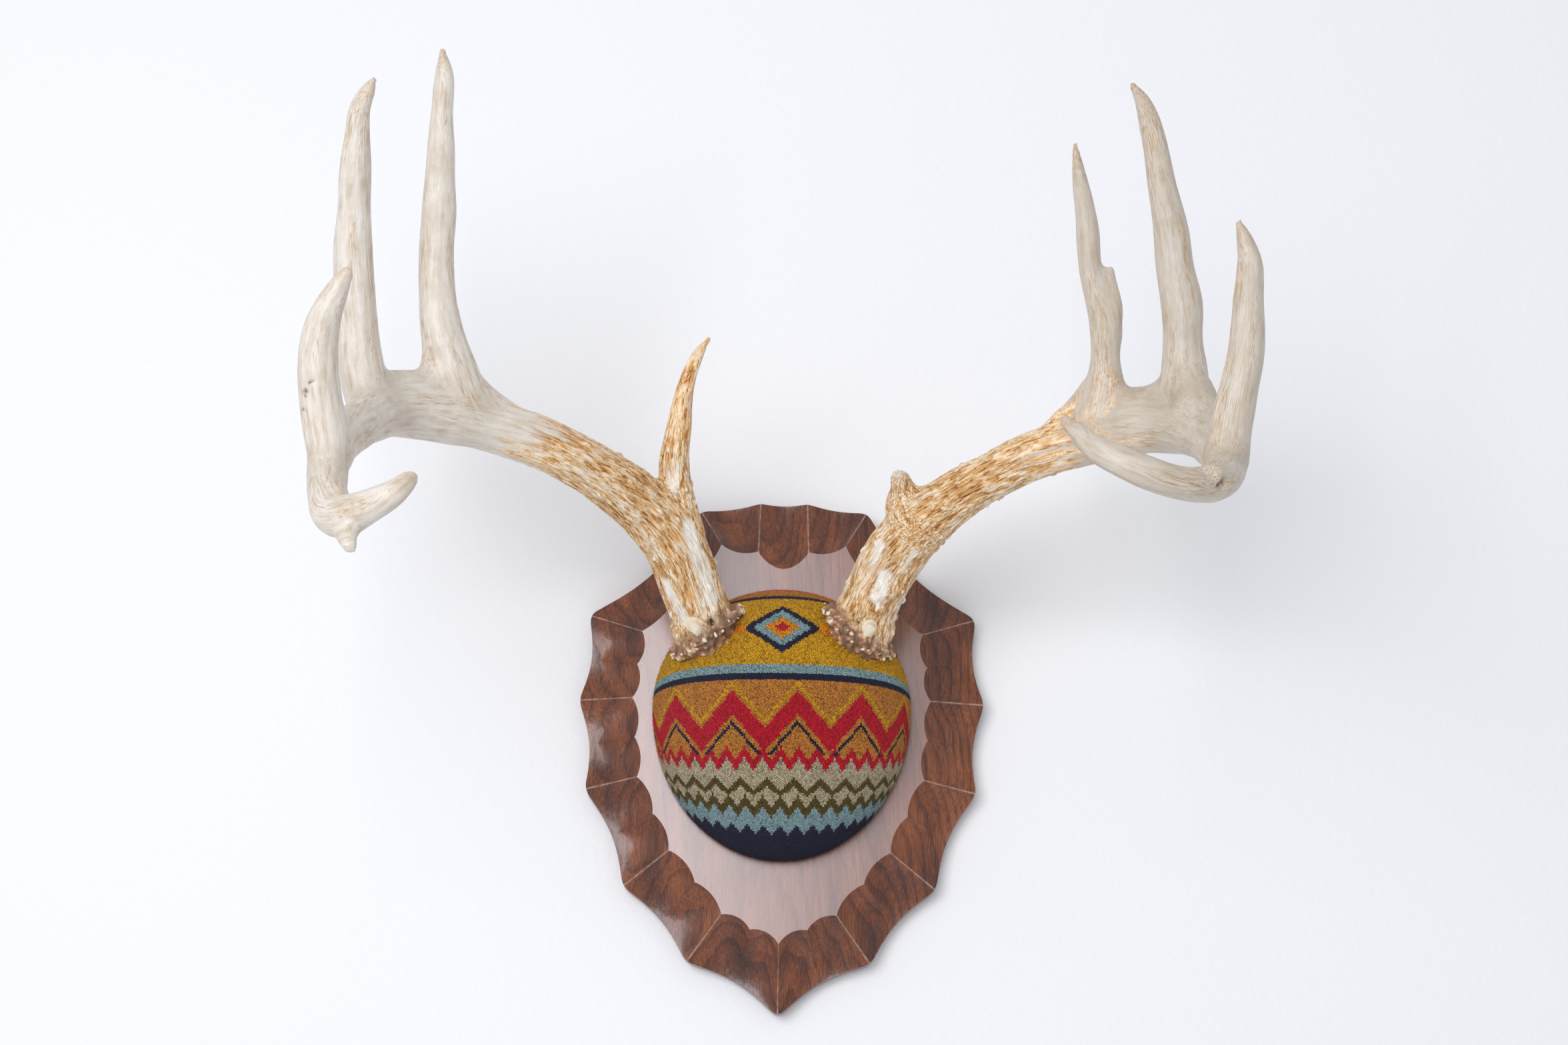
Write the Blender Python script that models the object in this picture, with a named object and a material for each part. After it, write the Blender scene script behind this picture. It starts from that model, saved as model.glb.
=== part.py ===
# Deer antler mount: a pair of white-tailed deer antlers on a cloth-covered
# skull form, set on a carved walnut shield that hangs flat on a wall.
#
# Metres, +Z up. The wall is the plane y = 0 and the mount stands out towards -Y.
# The origin is on the shield's back at the middle of its height.
# Left and right are as seen by someone who faces the mount.
# Stations along an antler are (span, reach, rise, girth) in millimetres:
# span is X, reach is the distance out from the wall, rise is Z, girth is the thickness.

import math
import random

import bmesh
import bpy
from mathutils import Vector, noise

MM = 0.001
GAP = 0.3                    # clearance between touching pieces

# Shield: right half of its points from the top down, mirrored for the left half
SHIELD_THICKNESS = 19.5
SHIELD_POINTS = [(13.7, 147.0), (48.0, 142.0), (111.0, 79.0), (115.6, 29.3),
                 (110.7, -22.0), (87.6, -76.5), (51.3, -118.0), (0.0, -147.5)]
SHIELD_NOTCHES = [(14.5, 116.5), (36.0, 120.5), (80.5, 68.5), (85.0, 29.8),
                  (81.3, -15.8), (62.4, -57.0), (32.2, -92.4), (0.0, -108.7)]
RIM_HEIGHT_AT_POINT = 12.5   # thickness left at the outer edge beside a point
RIM_HEIGHT_BETWEEN = 9.0     # and in the hollow between two points
HOLLOW_DEPTH = 0.075         # how far an outer edge curves in, as a share of its length
TOP_HOLLOW_DEPTH = 0.02
POINT_ROUNDING = 1.35        # 1 leaves the points sharp, 2 rounds them right over
LOBE_DEPTH = 3.0             # how far a gouge cut bites into the flat field
TOP_LOBE_DEPTH = 10.4
COVE_CURL = 0.75             # how hollow a gouge cut is, 0 is a plain slope
COLUMNS_PER_LOBE = 5
BORDER_ROWS = 4

# Cloth-covered skull form: an egg outline on the shield, crowned towards the viewer
FORM_CENTRE_RISE = 23.0
FORM_HALF_WIDTH = 73.0
FORM_HALF_HEIGHT_UP = 67.5
FORM_HALF_HEIGHT_DOWN = 86.0
FORM_PROUD = 62.0
FORM_SHOULDER = 2.45         # 2 is a plain ellipse, more is squarer at the shoulder
FORM_EDGE_TUCK = 0.985       # the cloth is drawn in a little where it meets the shield
FORM_COLUMNS = 36
FORM_ROWS = 9

# Burrs, the knobbly collars at the foot of each antler
BURR_REACH = 60.0
BURR_RADIUS = 22.5
BURR_THICKNESS = 9.0
BURR_BEADS = 24
BURR_BEAD_SIZE = (2.3, 3.7)
PEARLS = 14                  # larger pearls scattered on each lower beam
PEARL_SIZE = (1.8, 2.6)

SIDES_STEPS = 4              # bevel steps of a branch, which give it 12 sides
RINGS_PER_STATION = 2
GNARL_SCALE = 22.0           # spacing of the gentle lumps along a branch
GNARL_DEPTH = 0.035          # their height as a share of the girth
SMALLEST_PIECE = 1e-7        # cubic metres, below this a loose scrap is dropped
SLIVER = 0.03                # edges shorter than this are dissolved after a union
RIDGE_ANGLE = 32.0           # edges sharper than this are drawn sharp

LEFT = {
    "beam": [(-42, 58, 60, 35), (-50, 72, 80, 33.5), (-61, 88, 103, 34), (-80, 106, 121, 31.5),
             (-110, 131, 136, 28), (-140, 147, 146, 28), (-170, 161, 149.5, 28),
             (-192, 175, 149, 28), (-207, 196, 142, 27), (-216, 236, 120, 24.5),
             (-218, 270, 100, 22.5), (-215, 298, 81, 20), (-209.5, 320, 62, 19),
             (-202.3, 334, 50, 21), (-186, 347, 51, 15.5), (-174, 352, 57, 12),
             (-165.5, 351, 66, 4)],
    "brow tine": [(-54, 88, 106, 22), (-59.3, 98, 129, 18.3), (-60.3, 106.6, 144, 16),
                  (-57.7, 118.5, 163.5, 13.3), (-53.5, 132, 182, 9), (-47.5, 142.5, 194, 6.5),
                  (-41.2, 150, 201, 2)],
    "second tine": [(-166, 160, 152, 24), (-176, 168, 173, 27.5), (-181.5, 175, 194, 23),
                    (-184.5, 185, 221, 19.5), (-183.5, 195, 248, 18), (-182.3, 207, 276, 16),
                    (-180.8, 218.5, 301, 11.8), (-179.9, 227, 318.7, 9), (-180.8, 232, 329, 2)],
    "third tine": [(-212, 197, 143, 26), (-217.5, 203, 162, 24.5), (-220.5, 210, 186, 21.3),
                   (-222.6, 221, 215, 21), (-221.5, 232, 243, 17.8), (-220, 245, 269, 14.5),
                   (-217.5, 254, 286, 10.5), (-213, 259, 294, 7.5), (-209.6, 262, 299, 2.4)],
    "fourth tine": [(-214, 300, 80, 18), (-215, 305.5, 95, 20.3), (-217.7, 311, 112, 21),
                    (-218.8, 316, 126, 18.8), (-216.5, 325, 145, 16.5), (-209.5, 332.5, 159, 10.5),
                    (-202.9, 338, 169, 2.4)],
    "web": [(-172, 162, 156, 22), (-184, 169, 163, 20), (-197, 179, 161, 19.5),
            (-213, 198, 154, 21)],
    "second gusset": [(-138, 148, 149, 18), (-150, 153, 155.5, 18), (-162.5, 160, 162.5, 18),
                      (-172, 166, 173, 18), (-177.5, 170, 185, 17)],
    "kicker": [(-200, 337, 48, 15), (-195.9, 346, 36.3, 10.5), (-192, 352, 28, 3)],
    "burr knob": [(-45, 66, 66, 8), (-47, 73, 61, 8), (-49, 82, 55.5, 7)],
    "burr direction": (-0.58, 0.40, 0.71),
}

RIGHT = {
    "beam": [(42, 58, 61, 35), (50, 71, 80, 33), (61, 88, 98, 33.5), (72, 104, 109, 33),
             (88, 122, 119, 28.5), (108, 141, 127, 25), (134, 158, 136, 26.5),
             (160, 173, 140, 27.5), (188, 195, 140, 27), (204, 220, 131, 25.5),
             (210, 260, 110, 22), (207, 300, 87, 20), (196, 329, 72.5, 18.5),
             (178, 352, 65.5, 16), (156, 360, 70, 14.7), (142, 357, 78, 12),
             (125.5, 341, 99.5, 2.5)],
    "brow stub": [(77, 110, 110, 27), (66.5, 112, 119, 25), (63.8, 122, 129, 9),
                  (61.8, 126, 132.6, 4)],
    "second tine": [(161, 179, 143, 24), (165.7, 185, 162, 21.5), (165.9, 191, 180, 16),
                    (165.5, 197, 196, 17), (161.3, 202.5, 208.5, 15), (157, 208.5, 222, 12),
                    (154, 219, 244, 11.4), (150, 228, 261, 9.6), (146.2, 238, 278.7, 3)],
    "third tine": [(202, 206, 142, 27), (203, 212, 158, 25.5), (202, 219, 178, 20.5),
                   (200.5, 226, 196, 21), (196.5, 234, 214.6, 19.4), (193, 243, 233, 17),
                   (188, 252, 250, 14.6), (182.5, 264, 273, 11.3), (177, 272, 286, 8),
                   (170.5, 278, 293.6, 2.2)],
    "fourth tine": [(208, 297, 92, 22), (210.3, 303, 107, 20), (213, 307, 123, 18.4),
                    (216, 312, 139, 17.8), (217, 320, 162, 14.6), (217.2, 328, 180, 12),
                    (214, 332.5, 190.5, 8), (210.6, 336, 198, 2.4)],
    "web": [(164, 177, 149, 22), (172, 183, 153.5, 19), (186, 193, 153, 19.5),
            (201, 210, 148, 23)],
    "second gusset": [(136, 160, 138, 18), (146, 168, 147, 18), (156.5, 176, 157, 17),
                      (164.5, 184, 170, 14)],
    "third gusset": [(184, 196, 155, 16), (194, 205, 159.5, 16), (200, 213, 170, 16)],
    "third root": [(203, 216, 160, 20), (207, 224, 145, 22), (208, 232, 128, 22)],
    "tine chip": [(168.8, 198, 193, 10), (169.6, 203, 204, 8.5), (167.6, 206, 213, 8),
                  (165.8, 208, 222.5, 6.5)],
    "burr knob": [(45, 66, 67, 8), (47, 73, 62, 8), (48.5, 82, 56.5, 7.5)],
    "burr direction": (0.58, 0.40, 0.71),
}

# Forks where an antler is parted: (branch, station, share of the way on, cut width)
LEFT_CUTS = [("brow tine", 2, 0.1, 26), ("beam", 3, 0.5, 60), ("second tine", 1, 0.35, 40),
             ("web", 2, 0.0, 62), ("third tine", 1, 0.35, 36), ("beam", 8, 0.5, 46),
             ("fourth tine", 0, 0.9, 30), ("beam", 11, 0.55, 36)]
RIGHT_CUTS = [("beam", 4, 0.2, 60), ("second tine", 1, 0.6, 32), ("web", 2, 0.0, 62),
              ("third tine", 1, 0.35, 38), ("beam", 9, 0.35, 46),
              ("fourth tine", 0, 0.8, 30), ("beam", 11, 0.55, 36)]

# Each node of an antler is the piece that holds this station of this branch
LEFT_PIECES = {"left_antler_base": ("beam", 1), "left_brow_tine": ("brow tine", 3),
               "left_middle_beam": ("beam", 5), "left_second_tine": ("second tine", 4),
               "left_fork_beam": ("beam", 8), "left_third_tine": ("third tine", 4),
               "left_front_beam": ("beam", 10), "left_fourth_tine": ("fourth tine", 3),
               "left_beam_tip": ("beam", 14)}
RIGHT_PIECES = {"right_antler_base": ("beam", 1), "right_middle_beam": ("beam", 6),
                "right_second_tine": ("second tine", 4), "right_fork_beam": ("beam", 9),
                "right_third_tine": ("third tine", 5), "right_front_beam": ("beam", 10),
                "right_fourth_tine": ("fourth tine", 4), "right_beam_tip": ("beam", 13)}

for leftover in list(bpy.data.objects):
    bpy.data.objects.remove(leftover, do_unlink=True)

parts = bpy.data.collections.new("deer_antler_mount")
cutters = bpy.data.collections.new("cutters")
bpy.context.scene.collection.children.link(parts)
bpy.context.scene.collection.children.link(cutters)


def place(span, reach, rise):
    """A point of the mount, from millimetres to Blender's metres."""
    return Vector((span, -reach, rise)) * MM


def material(name, colour, roughness):
    finish = bpy.data.materials.new(name)
    finish.use_nodes = True
    shader = finish.node_tree.nodes["Principled BSDF"]
    shader.inputs["Base Color"].default_value = (*colour, 1.0)
    shader.inputs["Roughness"].default_value = roughness
    shader.inputs["Metallic"].default_value = 0.0
    return finish


def add_object(name, mesh, collection):
    piece = bpy.data.objects.new(name, mesh)
    collection.objects.link(piece)
    return piece


def mesh_from_bmesh(name, bm):
    mesh = bpy.data.meshes.new(name)
    bm.to_mesh(mesh)
    bm.free()
    return mesh


def evaluated_copy(piece):
    """The piece's mesh with its modifiers applied."""
    graph = bpy.context.evaluated_depsgraph_get()
    return bpy.data.meshes.new_from_object(piece.evaluated_get(graph))


def branch(name, stations, collection):
    """One tapering limb: a curve through its stations, made a closed mesh with gentle lumps."""
    curve = bpy.data.curves.new(name, "CURVE")
    curve.dimensions = "3D"
    curve.bevel_depth = 1.0
    curve.bevel_resolution = SIDES_STEPS
    curve.resolution_u = RINGS_PER_STATION
    curve.use_fill_caps = True
    spline = curve.splines.new("BEZIER")
    spline.radius_interpolation = "CARDINAL"
    spline.bezier_points.add(len(stations) - 1)
    for point, (span, reach, rise, girth) in zip(spline.bezier_points, stations):
        point.co = place(span, reach, rise)
        point.radius = girth / 2 * MM
        point.handle_left_type = "AUTO"
        point.handle_right_type = "AUTO"
    limb = add_object(name, curve, collection)
    mesh = evaluated_copy(limb)
    bm = bmesh.new()
    bm.from_mesh(mesh)
    bmesh.ops.remove_doubles(bm, verts=bm.verts, dist=0.00001)
    bmesh.ops.triangulate(bm, faces=bm.faces)
    bm.normal_update()
    widest = max(station[3] for station in stations)
    for vert in bm.verts:
        lump = noise.noise(vert.co / (GNARL_SCALE * MM))
        vert.co += vert.normal * lump * widest * GNARL_DEPTH * MM
    bm.to_mesh(mesh)
    bm.free()
    closed = add_object(name + " mesh", mesh, collection)
    closed.matrix_world = limb.matrix_world
    bpy.data.objects.remove(limb, do_unlink=True)
    return closed


def bead(name, centre, size, axis, stretch, collection):
    """A small rounded pearl, longer along its axis."""
    bm = bmesh.new()
    bmesh.ops.create_icosphere(bm, subdivisions=1, radius=size * MM)
    bmesh.ops.scale(bm, vec=(1.0, 1.0, stretch), verts=bm.verts)
    turn = axis.to_track_quat("Z", "Y").to_matrix()
    bmesh.ops.rotate(bm, matrix=turn, verts=bm.verts)
    bmesh.ops.translate(bm, vec=centre, verts=bm.verts)
    return add_object(name, mesh_from_bmesh(name, bm), collection)


def across(axis):
    """Two unit directions square to an axis and to each other."""
    side = axis.cross(Vector((0.0, 1.0, 0.0))).normalized()
    return side, axis.cross(side).normalized()


def burr(plan, draw, collection):
    """The collar at the foot of a beam: a flared rim with beads round its edge and a knob."""
    span, _, rise, _ = plan["beam"][0]
    direction = Vector(plan["burr direction"]).normalized()
    steps = [(-1.6, 0.72), (-0.6, 0.92), (0.1, 1.0), (0.7, 0.86), (1.6, 0.68)]
    collar = []
    for along, width in steps:
        centre = Vector((span, BURR_REACH, rise)) + direction * along * BURR_THICKNESS
        collar.append((*centre, width * 2 * BURR_RADIUS))
    branch("burr collar", collar, collection)
    middle = place(span, BURR_REACH, rise)
    axis = place(*direction).normalized()
    side, other = across(axis)
    for index in range(BURR_BEADS):
        angle = 2 * math.pi * (index + draw.uniform(-0.25, 0.25)) / BURR_BEADS
        outward = side * math.cos(angle) + other * math.sin(angle)
        size = draw.uniform(*BURR_BEAD_SIZE)
        height = draw.uniform(-0.25, 0.25) * BURR_THICKNESS * MM
        centre = middle + outward * (BURR_RADIUS + draw.uniform(-0.8, 0.6)) * MM + axis * height
        bead("burr bead", centre, size, outward, 1.25, collection)


def pearls(plan, draw, collection):
    """Larger pearls on the lower beam, each sunk about half way in."""
    beam = plan["beam"]
    for _ in range(PEARLS):
        start = draw.randrange(0, 3)
        share = draw.uniform(0.1, 1.0)
        lower = Vector(beam[start])
        upper = Vector(beam[start + 1])
        here = Vector(beam[start][:3]).lerp(Vector(beam[start + 1][:3]), share)
        girth = lower[3] + (upper[3] - lower[3]) * share
        axis = place(*(Vector(beam[start + 1][:3]) - Vector(beam[start][:3]))).normalized()
        side, other = across(axis)
        angle = draw.uniform(0, 2 * math.pi)
        outward = side * math.cos(angle) + other * math.sin(angle)
        size = draw.uniform(*PEARL_SIZE)
        centre = place(*here) + outward * (girth / 2 - 0.3) * MM
        bead("pearl", centre, size, axis, 1.5, collection)


def form_mesh(name, grow=0.0):
    """The egg-shaped form, or a cutter of its shape that is larger by a clearance."""
    bm = bmesh.new()
    base_reach = SHIELD_THICKNESS + GAP
    rings = []
    for row in range(FORM_ROWS):
        lean = row / FORM_ROWS * math.pi / 2
        share = math.cos(lean) ** (2 / FORM_SHOULDER)
        proud = (FORM_PROUD + grow) * math.sin(lean) ** (2 / FORM_SHOULDER)
        if row == 0:
            share = FORM_EDGE_TUCK
            proud = -grow * 4
        ring = []
        for column in range(FORM_COLUMNS):
            angle = 2 * math.pi * column / FORM_COLUMNS
            half_height = FORM_HALF_HEIGHT_UP if math.sin(angle) > 0 else FORM_HALF_HEIGHT_DOWN
            span = (FORM_HALF_WIDTH + grow) * share * math.cos(angle)
            rise = FORM_CENTRE_RISE + (half_height + grow) * share * math.sin(angle)
            ring.append(bm.verts.new(place(span, base_reach + proud, rise)))
        rings.append(ring)
    crown = bm.verts.new(place(0, base_reach + FORM_PROUD + grow, FORM_CENTRE_RISE))
    for lower, upper in zip(rings, rings[1:]):
        for column in range(FORM_COLUMNS):
            after = (column + 1) % FORM_COLUMNS
            bm.faces.new((lower[column], lower[after], upper[after], upper[column]))
    for column in range(FORM_COLUMNS):
        bm.faces.new((rings[-1][column], rings[-1][(column + 1) % FORM_COLUMNS], crown))
    bm.faces.new(rings[0])
    bmesh.ops.triangulate(bm, faces=bm.faces)
    bmesh.ops.recalc_face_normals(bm, faces=bm.faces)
    return mesh_from_bmesh(name, bm)


def both_sides(half):
    """A half outline with its mirror image, clockwise from the top left point."""
    right = [Vector(point) for point in half]
    left = [Vector((-x, z)) for x, z in half[:-1]]
    return [left[0]] + right + left[:0:-1]


def shield_mesh():
    """The carved board: a flat field with a border of gouge cuts that meet in sharp ridges."""
    corners = both_sides(SHIELD_POINTS)
    notches = both_sides(SHIELD_NOTCHES)
    bm = bmesh.new()
    columns = []
    count = len(corners)
    for index in range(count):
        corner, following = corners[index], corners[(index + 1) % count]
        notch, next_notch = notches[index], notches[(index + 1) % count]
        at_top = corner.y > 135 and following.y > 135
        lobes = 1 if at_top else 2
        bite = TOP_LOBE_DEPTH if at_top and abs(corner.x + following.x) < 1 else LOBE_DEPTH
        edge = following - corner
        square = Vector((edge.y, -edge.x)).normalized()
        depth = edge.length * (TOP_HOLLOW_DEPTH if at_top else HOLLOW_DEPTH)
        inner_edge = next_notch - notch
        inner_square = Vector((inner_edge.y, -inner_edge.x)).normalized()
        steps = lobes * COLUMNS_PER_LOBE
        for step in range(steps):
            share = step / steps
            bow = 4 * share * (1 - share)
            lobe_share = share * lobes % 1.0
            scoop = math.sin(math.pi * lobe_share) ** 0.75
            outer = corner.lerp(following, share) + square * depth * bow ** POINT_ROUNDING
            inner = notch.lerp(next_notch, share) + inner_square * bite * scoop
            rim = RIM_HEIGHT_AT_POINT + (RIM_HEIGHT_BETWEEN - RIM_HEIGHT_AT_POINT) * bow
            column = [bm.verts.new(place(outer.x, 0.0, outer.y))]
            for row in range(BORDER_ROWS + 1):
                way = row / BORDER_ROWS
                lift = way ** (1.0 + COVE_CURL * scoop)
                spot = outer.lerp(inner, way)
                reach = rim + (SHIELD_THICKNESS - rim) * lift
                column.append(bm.verts.new(place(spot.x, reach, spot.y)))
            columns.append(column)
    total = len(columns)
    for index in range(total):
        here, after = columns[index], columns[(index + 1) % total]
        for row in range(len(here) - 1):
            bm.faces.new((here[row], here[row + 1], after[row + 1], after[row]))
    bm.faces.new([column[0] for column in columns])
    bm.faces.new([column[-1] for column in columns])
    bmesh.ops.recalc_face_normals(bm, faces=bm.faces)
    return mesh_from_bmesh("shield", bm)


def boolean(target, collection, operation):
    """Joins a collection of closed meshes to the target, or takes them from it, and applies that."""
    step = target.modifiers.new(operation.lower(), "BOOLEAN")
    step.operation = operation
    step.operand_type = "COLLECTION"
    step.collection = collection
    step.solver = "MANIFOLD"
    result = evaluated_copy(target)
    target.modifiers.clear()
    target.data = result


def cut_slab(plan, branch_name, station, share, width):
    """A thin square slab across a branch, where a fork is parted."""
    stations = plan[branch_name]
    here = Vector(stations[station][:3])
    after = Vector(stations[station + 1][:3])
    axis = place(*(after - here)).normalized()
    bm = bmesh.new()
    bmesh.ops.create_cube(bm, size=1.0)
    bmesh.ops.scale(bm, vec=(width * MM, width * MM, GAP * MM), verts=bm.verts)
    bmesh.ops.rotate(bm, matrix=axis.to_track_quat("Z", "Y").to_matrix(), verts=bm.verts)
    bmesh.ops.translate(bm, vec=place(*here.lerp(after, share)), verts=bm.verts)
    slab = add_object("fork cut", mesh_from_bmesh("fork cut", bm), cutters)
    slab.hide_render = True
    slab.display_type = "WIRE"
    return slab


def loose_pieces(mesh):
    """The closed surfaces of a mesh, as (bmesh, volume) pairs."""
    whole = bmesh.new()
    whole.from_mesh(mesh)
    seen = set()
    pieces = []
    for seed in whole.verts:
        if seed in seen:
            continue
        island = {seed}
        front = [seed]
        while front:
            vert = front.pop()
            for edge in vert.link_edges:
                other = edge.other_vert(vert)
                if other not in island:
                    island.add(other)
                    front.append(other)
        seen |= island
        alone = bmesh.new()
        copies = {vert: alone.verts.new(vert.co) for vert in island}
        faces = {face for vert in island for face in vert.link_faces}
        for face in sorted(faces, key=lambda item: item.index):
            alone.faces.new([copies[vert] for vert in face.verts])
        bmesh.ops.dissolve_degenerate(alone, dist=SLIVER * MM, edges=alone.edges)
        bmesh.ops.triangulate(alone, faces=alone.faces)
        pieces.append((alone, alone.calc_volume()))
    whole.free()
    return pieces


def nearest_distance(bm, point):
    return min((vert.co - point).length for vert in bm.verts)


def antler(plan, cuts, names, finish, seed):
    """One antler, joined whole, seated on the form and then parted at its forks."""
    draw = random.Random(seed)
    group = bpy.data.collections.new("antler limbs")
    bpy.context.scene.collection.children.link(group)
    for branch_name, stations in plan.items():
        if branch_name not in ("beam", "burr direction"):
            branch(branch_name, stations, group)
    burr(plan, draw, group)
    pearls(plan, draw, group)
    whole = branch("beam", plan["beam"], parts)
    boolean(whole, group, "UNION")
    for limb in list(group.objects):
        bpy.data.objects.remove(limb, do_unlink=True)
    bpy.data.collections.remove(group)
    for cut in cuts:
        cut_slab(plan, *cut)
    seat = add_object("form clearance", form_mesh("form clearance", GAP), cutters)
    seat.hide_render = True
    seat.display_type = "WIRE"
    boolean(whole, cutters, "DIFFERENCE")
    pieces = loose_pieces(whole.data)
    bpy.data.objects.remove(whole, do_unlink=True)
    taken = set()
    for name, (branch_name, station) in names.items():
        point = place(*plan[branch_name][station][:3])
        best = min((piece for piece in pieces if piece[1] > SMALLEST_PIECE),
                   key=lambda piece: nearest_distance(piece[0], point))
        if id(best) in taken:
            raise ValueError(name + " was not parted from its neighbour")
        taken.add(id(best))
        mesh = bpy.data.meshes.new(name)
        best[0].to_mesh(mesh)
        mesh.materials.append(finish)
        add_object(name, mesh, parts)
    for piece, _ in pieces:
        piece.free()
    for cutter in list(cutters.objects):
        bpy.data.objects.remove(cutter, do_unlink=True)


def build():
    walnut = material("oiled walnut", (0.115, 0.045, 0.022), 0.35)
    wool = material("patterned wool", (0.46, 0.24, 0.04), 0.9)
    shield = add_object("shield", shield_mesh(), parts)
    shield.data.materials.append(walnut)
    form = add_object("skull_form", form_mesh("skull_form"), parts)
    form.data.materials.append(wool)
    antler(LEFT, LEFT_CUTS, LEFT_PIECES, material("left antler bone", (0.72, 0.6, 0.44), 0.55), 11)
    antler(RIGHT, RIGHT_CUTS, RIGHT_PIECES, material("right antler bone", (0.72, 0.6, 0.44), 0.55), 27)
    for piece in parts.objects:
        piece.data.shade_smooth()
        piece.data.set_sharp_from_angle(angle=math.radians(RIDGE_ANGLE))


build()
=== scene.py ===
# Deer antler mount, its looks: two white-tailed antlers on a cloth-covered form,
# set on a carved walnut shield that hangs on a painted wall.
# Blender's units are metres. Places on the antlers are (span, reach, rise, girth) in
# millimetres: span is X, reach is how far out from the wall, rise is Z, girth is thickness.

import math

import bmesh
import bpy
import numpy as np
from mathutils import Matrix, Vector, geometry, noise


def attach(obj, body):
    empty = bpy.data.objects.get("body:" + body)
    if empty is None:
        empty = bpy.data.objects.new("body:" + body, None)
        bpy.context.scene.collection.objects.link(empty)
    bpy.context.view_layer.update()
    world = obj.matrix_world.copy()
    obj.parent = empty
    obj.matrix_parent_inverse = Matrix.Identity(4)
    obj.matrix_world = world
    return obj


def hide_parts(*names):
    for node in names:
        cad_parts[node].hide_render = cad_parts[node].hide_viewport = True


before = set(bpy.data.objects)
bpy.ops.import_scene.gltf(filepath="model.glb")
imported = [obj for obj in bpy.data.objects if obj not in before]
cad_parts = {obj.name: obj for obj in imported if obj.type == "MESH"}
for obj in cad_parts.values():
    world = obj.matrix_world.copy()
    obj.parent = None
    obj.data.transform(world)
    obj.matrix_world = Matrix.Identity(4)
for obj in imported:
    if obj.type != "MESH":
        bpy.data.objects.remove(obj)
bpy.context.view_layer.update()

mm = 0.001
scene = bpy.context.scene


# Camera: a 60 mm lens a step and a half from the wall, tipped up and leaning a touch
view = {
    "lens": 60.0,
    "sensorWidth": 36.0,
    "place": (0.0, -1.480, -0.2575),
    "tipUp": 15.0,
    "lean": 0.75,
}


def aimCamera():
    tip, lean = math.radians(view["tipUp"]), math.radians(view["lean"])
    ahead = Vector((0.0, math.cos(tip), math.sin(tip)))
    level = Vector((1.0, 0.0, 0.0))
    upright = Vector((0.0, -math.sin(tip), math.cos(tip)))
    right = level * math.cos(lean) + upright * math.sin(lean)
    top = upright * math.cos(lean) - level * math.sin(lean)
    lens = bpy.data.cameras.new("camera")
    lens.lens = view["lens"]
    lens.sensor_width = view["sensorWidth"]
    camera = bpy.data.objects.new("camera", lens)
    scene.collection.objects.link(camera)
    turn = Matrix((right, top, -ahead)).transposed().to_4x4()
    camera.matrix_world = Matrix.Translation(view["place"]) @ turn
    scene.camera = camera


aimCamera()
print("camera set")


# Shared helpers
def linear(hexColour):
    # sRGB hex to the linear colour that Blender mixes light in
    channels = [int(hexColour[i:i + 2], 16) / 255 for i in (1, 3, 5)]
    return (*[c / 12.92 if c <= 0.04045 else ((c + 0.055) / 1.055) ** 2.4 for c in channels], 1.0)


def addNode(tree, kind, sockets=None, stops=None, **settings):
    # one node with its settings; a socket is given a value, or the node or output that feeds it
    node = tree.nodes.new(kind)
    for name, value in settings.items():
        setattr(node, name, value)
    for name, value in (sockets or {}).items():
        if isinstance(value, bpy.types.Node):
            value = next(output for output in value.outputs if output.enabled)
        if isinstance(value, bpy.types.NodeSocket):
            tree.links.new(value, node.inputs[name])
        else:
            node.inputs[name].default_value = value
    if stops:
        marks = node.color_ramp.elements
        marks.remove(marks[1])
        marks[0].position = stops[0][0]
        marks[0].color = linear(stops[0][1])
        for position, colour in stops[1:]:
            marks.new(position).color = linear(colour)
    return node


def newFinish(name):
    finish = bpy.data.materials.new(name)
    finish.use_nodes = True
    tree = finish.node_tree
    tree.nodes.clear()
    shader = addNode(tree, "ShaderNodeBsdfPrincipled")
    addNode(tree, "ShaderNodeOutputMaterial", {"Surface": shader})
    return finish, tree, shader


def addPiece(name, mesh):
    piece = bpy.data.objects.new(name, mesh)
    scene.collection.objects.link(piece)
    return piece


def plainMesh(piece):
    # what the piece's modifiers make of it, as a mesh with its attributes
    graph = bpy.context.evaluated_depsgraph_get()
    return bpy.data.meshes.new_from_object(piece.evaluated_get(graph),
                                           preserve_all_data_layers=True, depsgraph=graph)


def geometryTree(name, sizes):
    tree = bpy.data.node_groups.new(name, "GeometryNodeTree")
    tree.interface.new_socket("Geometry", in_out="INPUT", socket_type="NodeSocketGeometry")
    tree.interface.new_socket("Geometry", in_out="OUTPUT", socket_type="NodeSocketGeometry")
    kinds = {int: "NodeSocketInt", float: "NodeSocketFloat",
             bpy.types.Material: "NodeSocketMaterial"}
    for label, value in sizes.items():
        socket = tree.interface.new_socket(label, in_out="INPUT", socket_type=kinds[type(value)])
        if not isinstance(value, bpy.types.Material):
            socket.default_value = value
    return tree, addNode(tree, "NodeGroupInput")


def applyTree(piece, tree, sizes):
    # the inputs are set before the object is first evaluated, then the result is made plain
    step = piece.modifiers.new(tree.name, "NODES")
    step.node_group = tree
    for item in tree.interface.items_tree:
        if item.item_type == "SOCKET" and item.in_out == "INPUT" and item.name in sizes:
            step[item.identifier] = sizes[item.name]
    mesh = plainMesh(piece)
    piece.modifiers.clear()
    piece.data = mesh


def pointsOf(mesh):
    points = np.empty(len(mesh.vertices) * 3)
    mesh.vertices.foreach_get("co", points)
    return points.reshape(-1, 3)


def setPoints(mesh, points):
    mesh.vertices.foreach_set("co", points.ravel())
    mesh.update()


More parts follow.
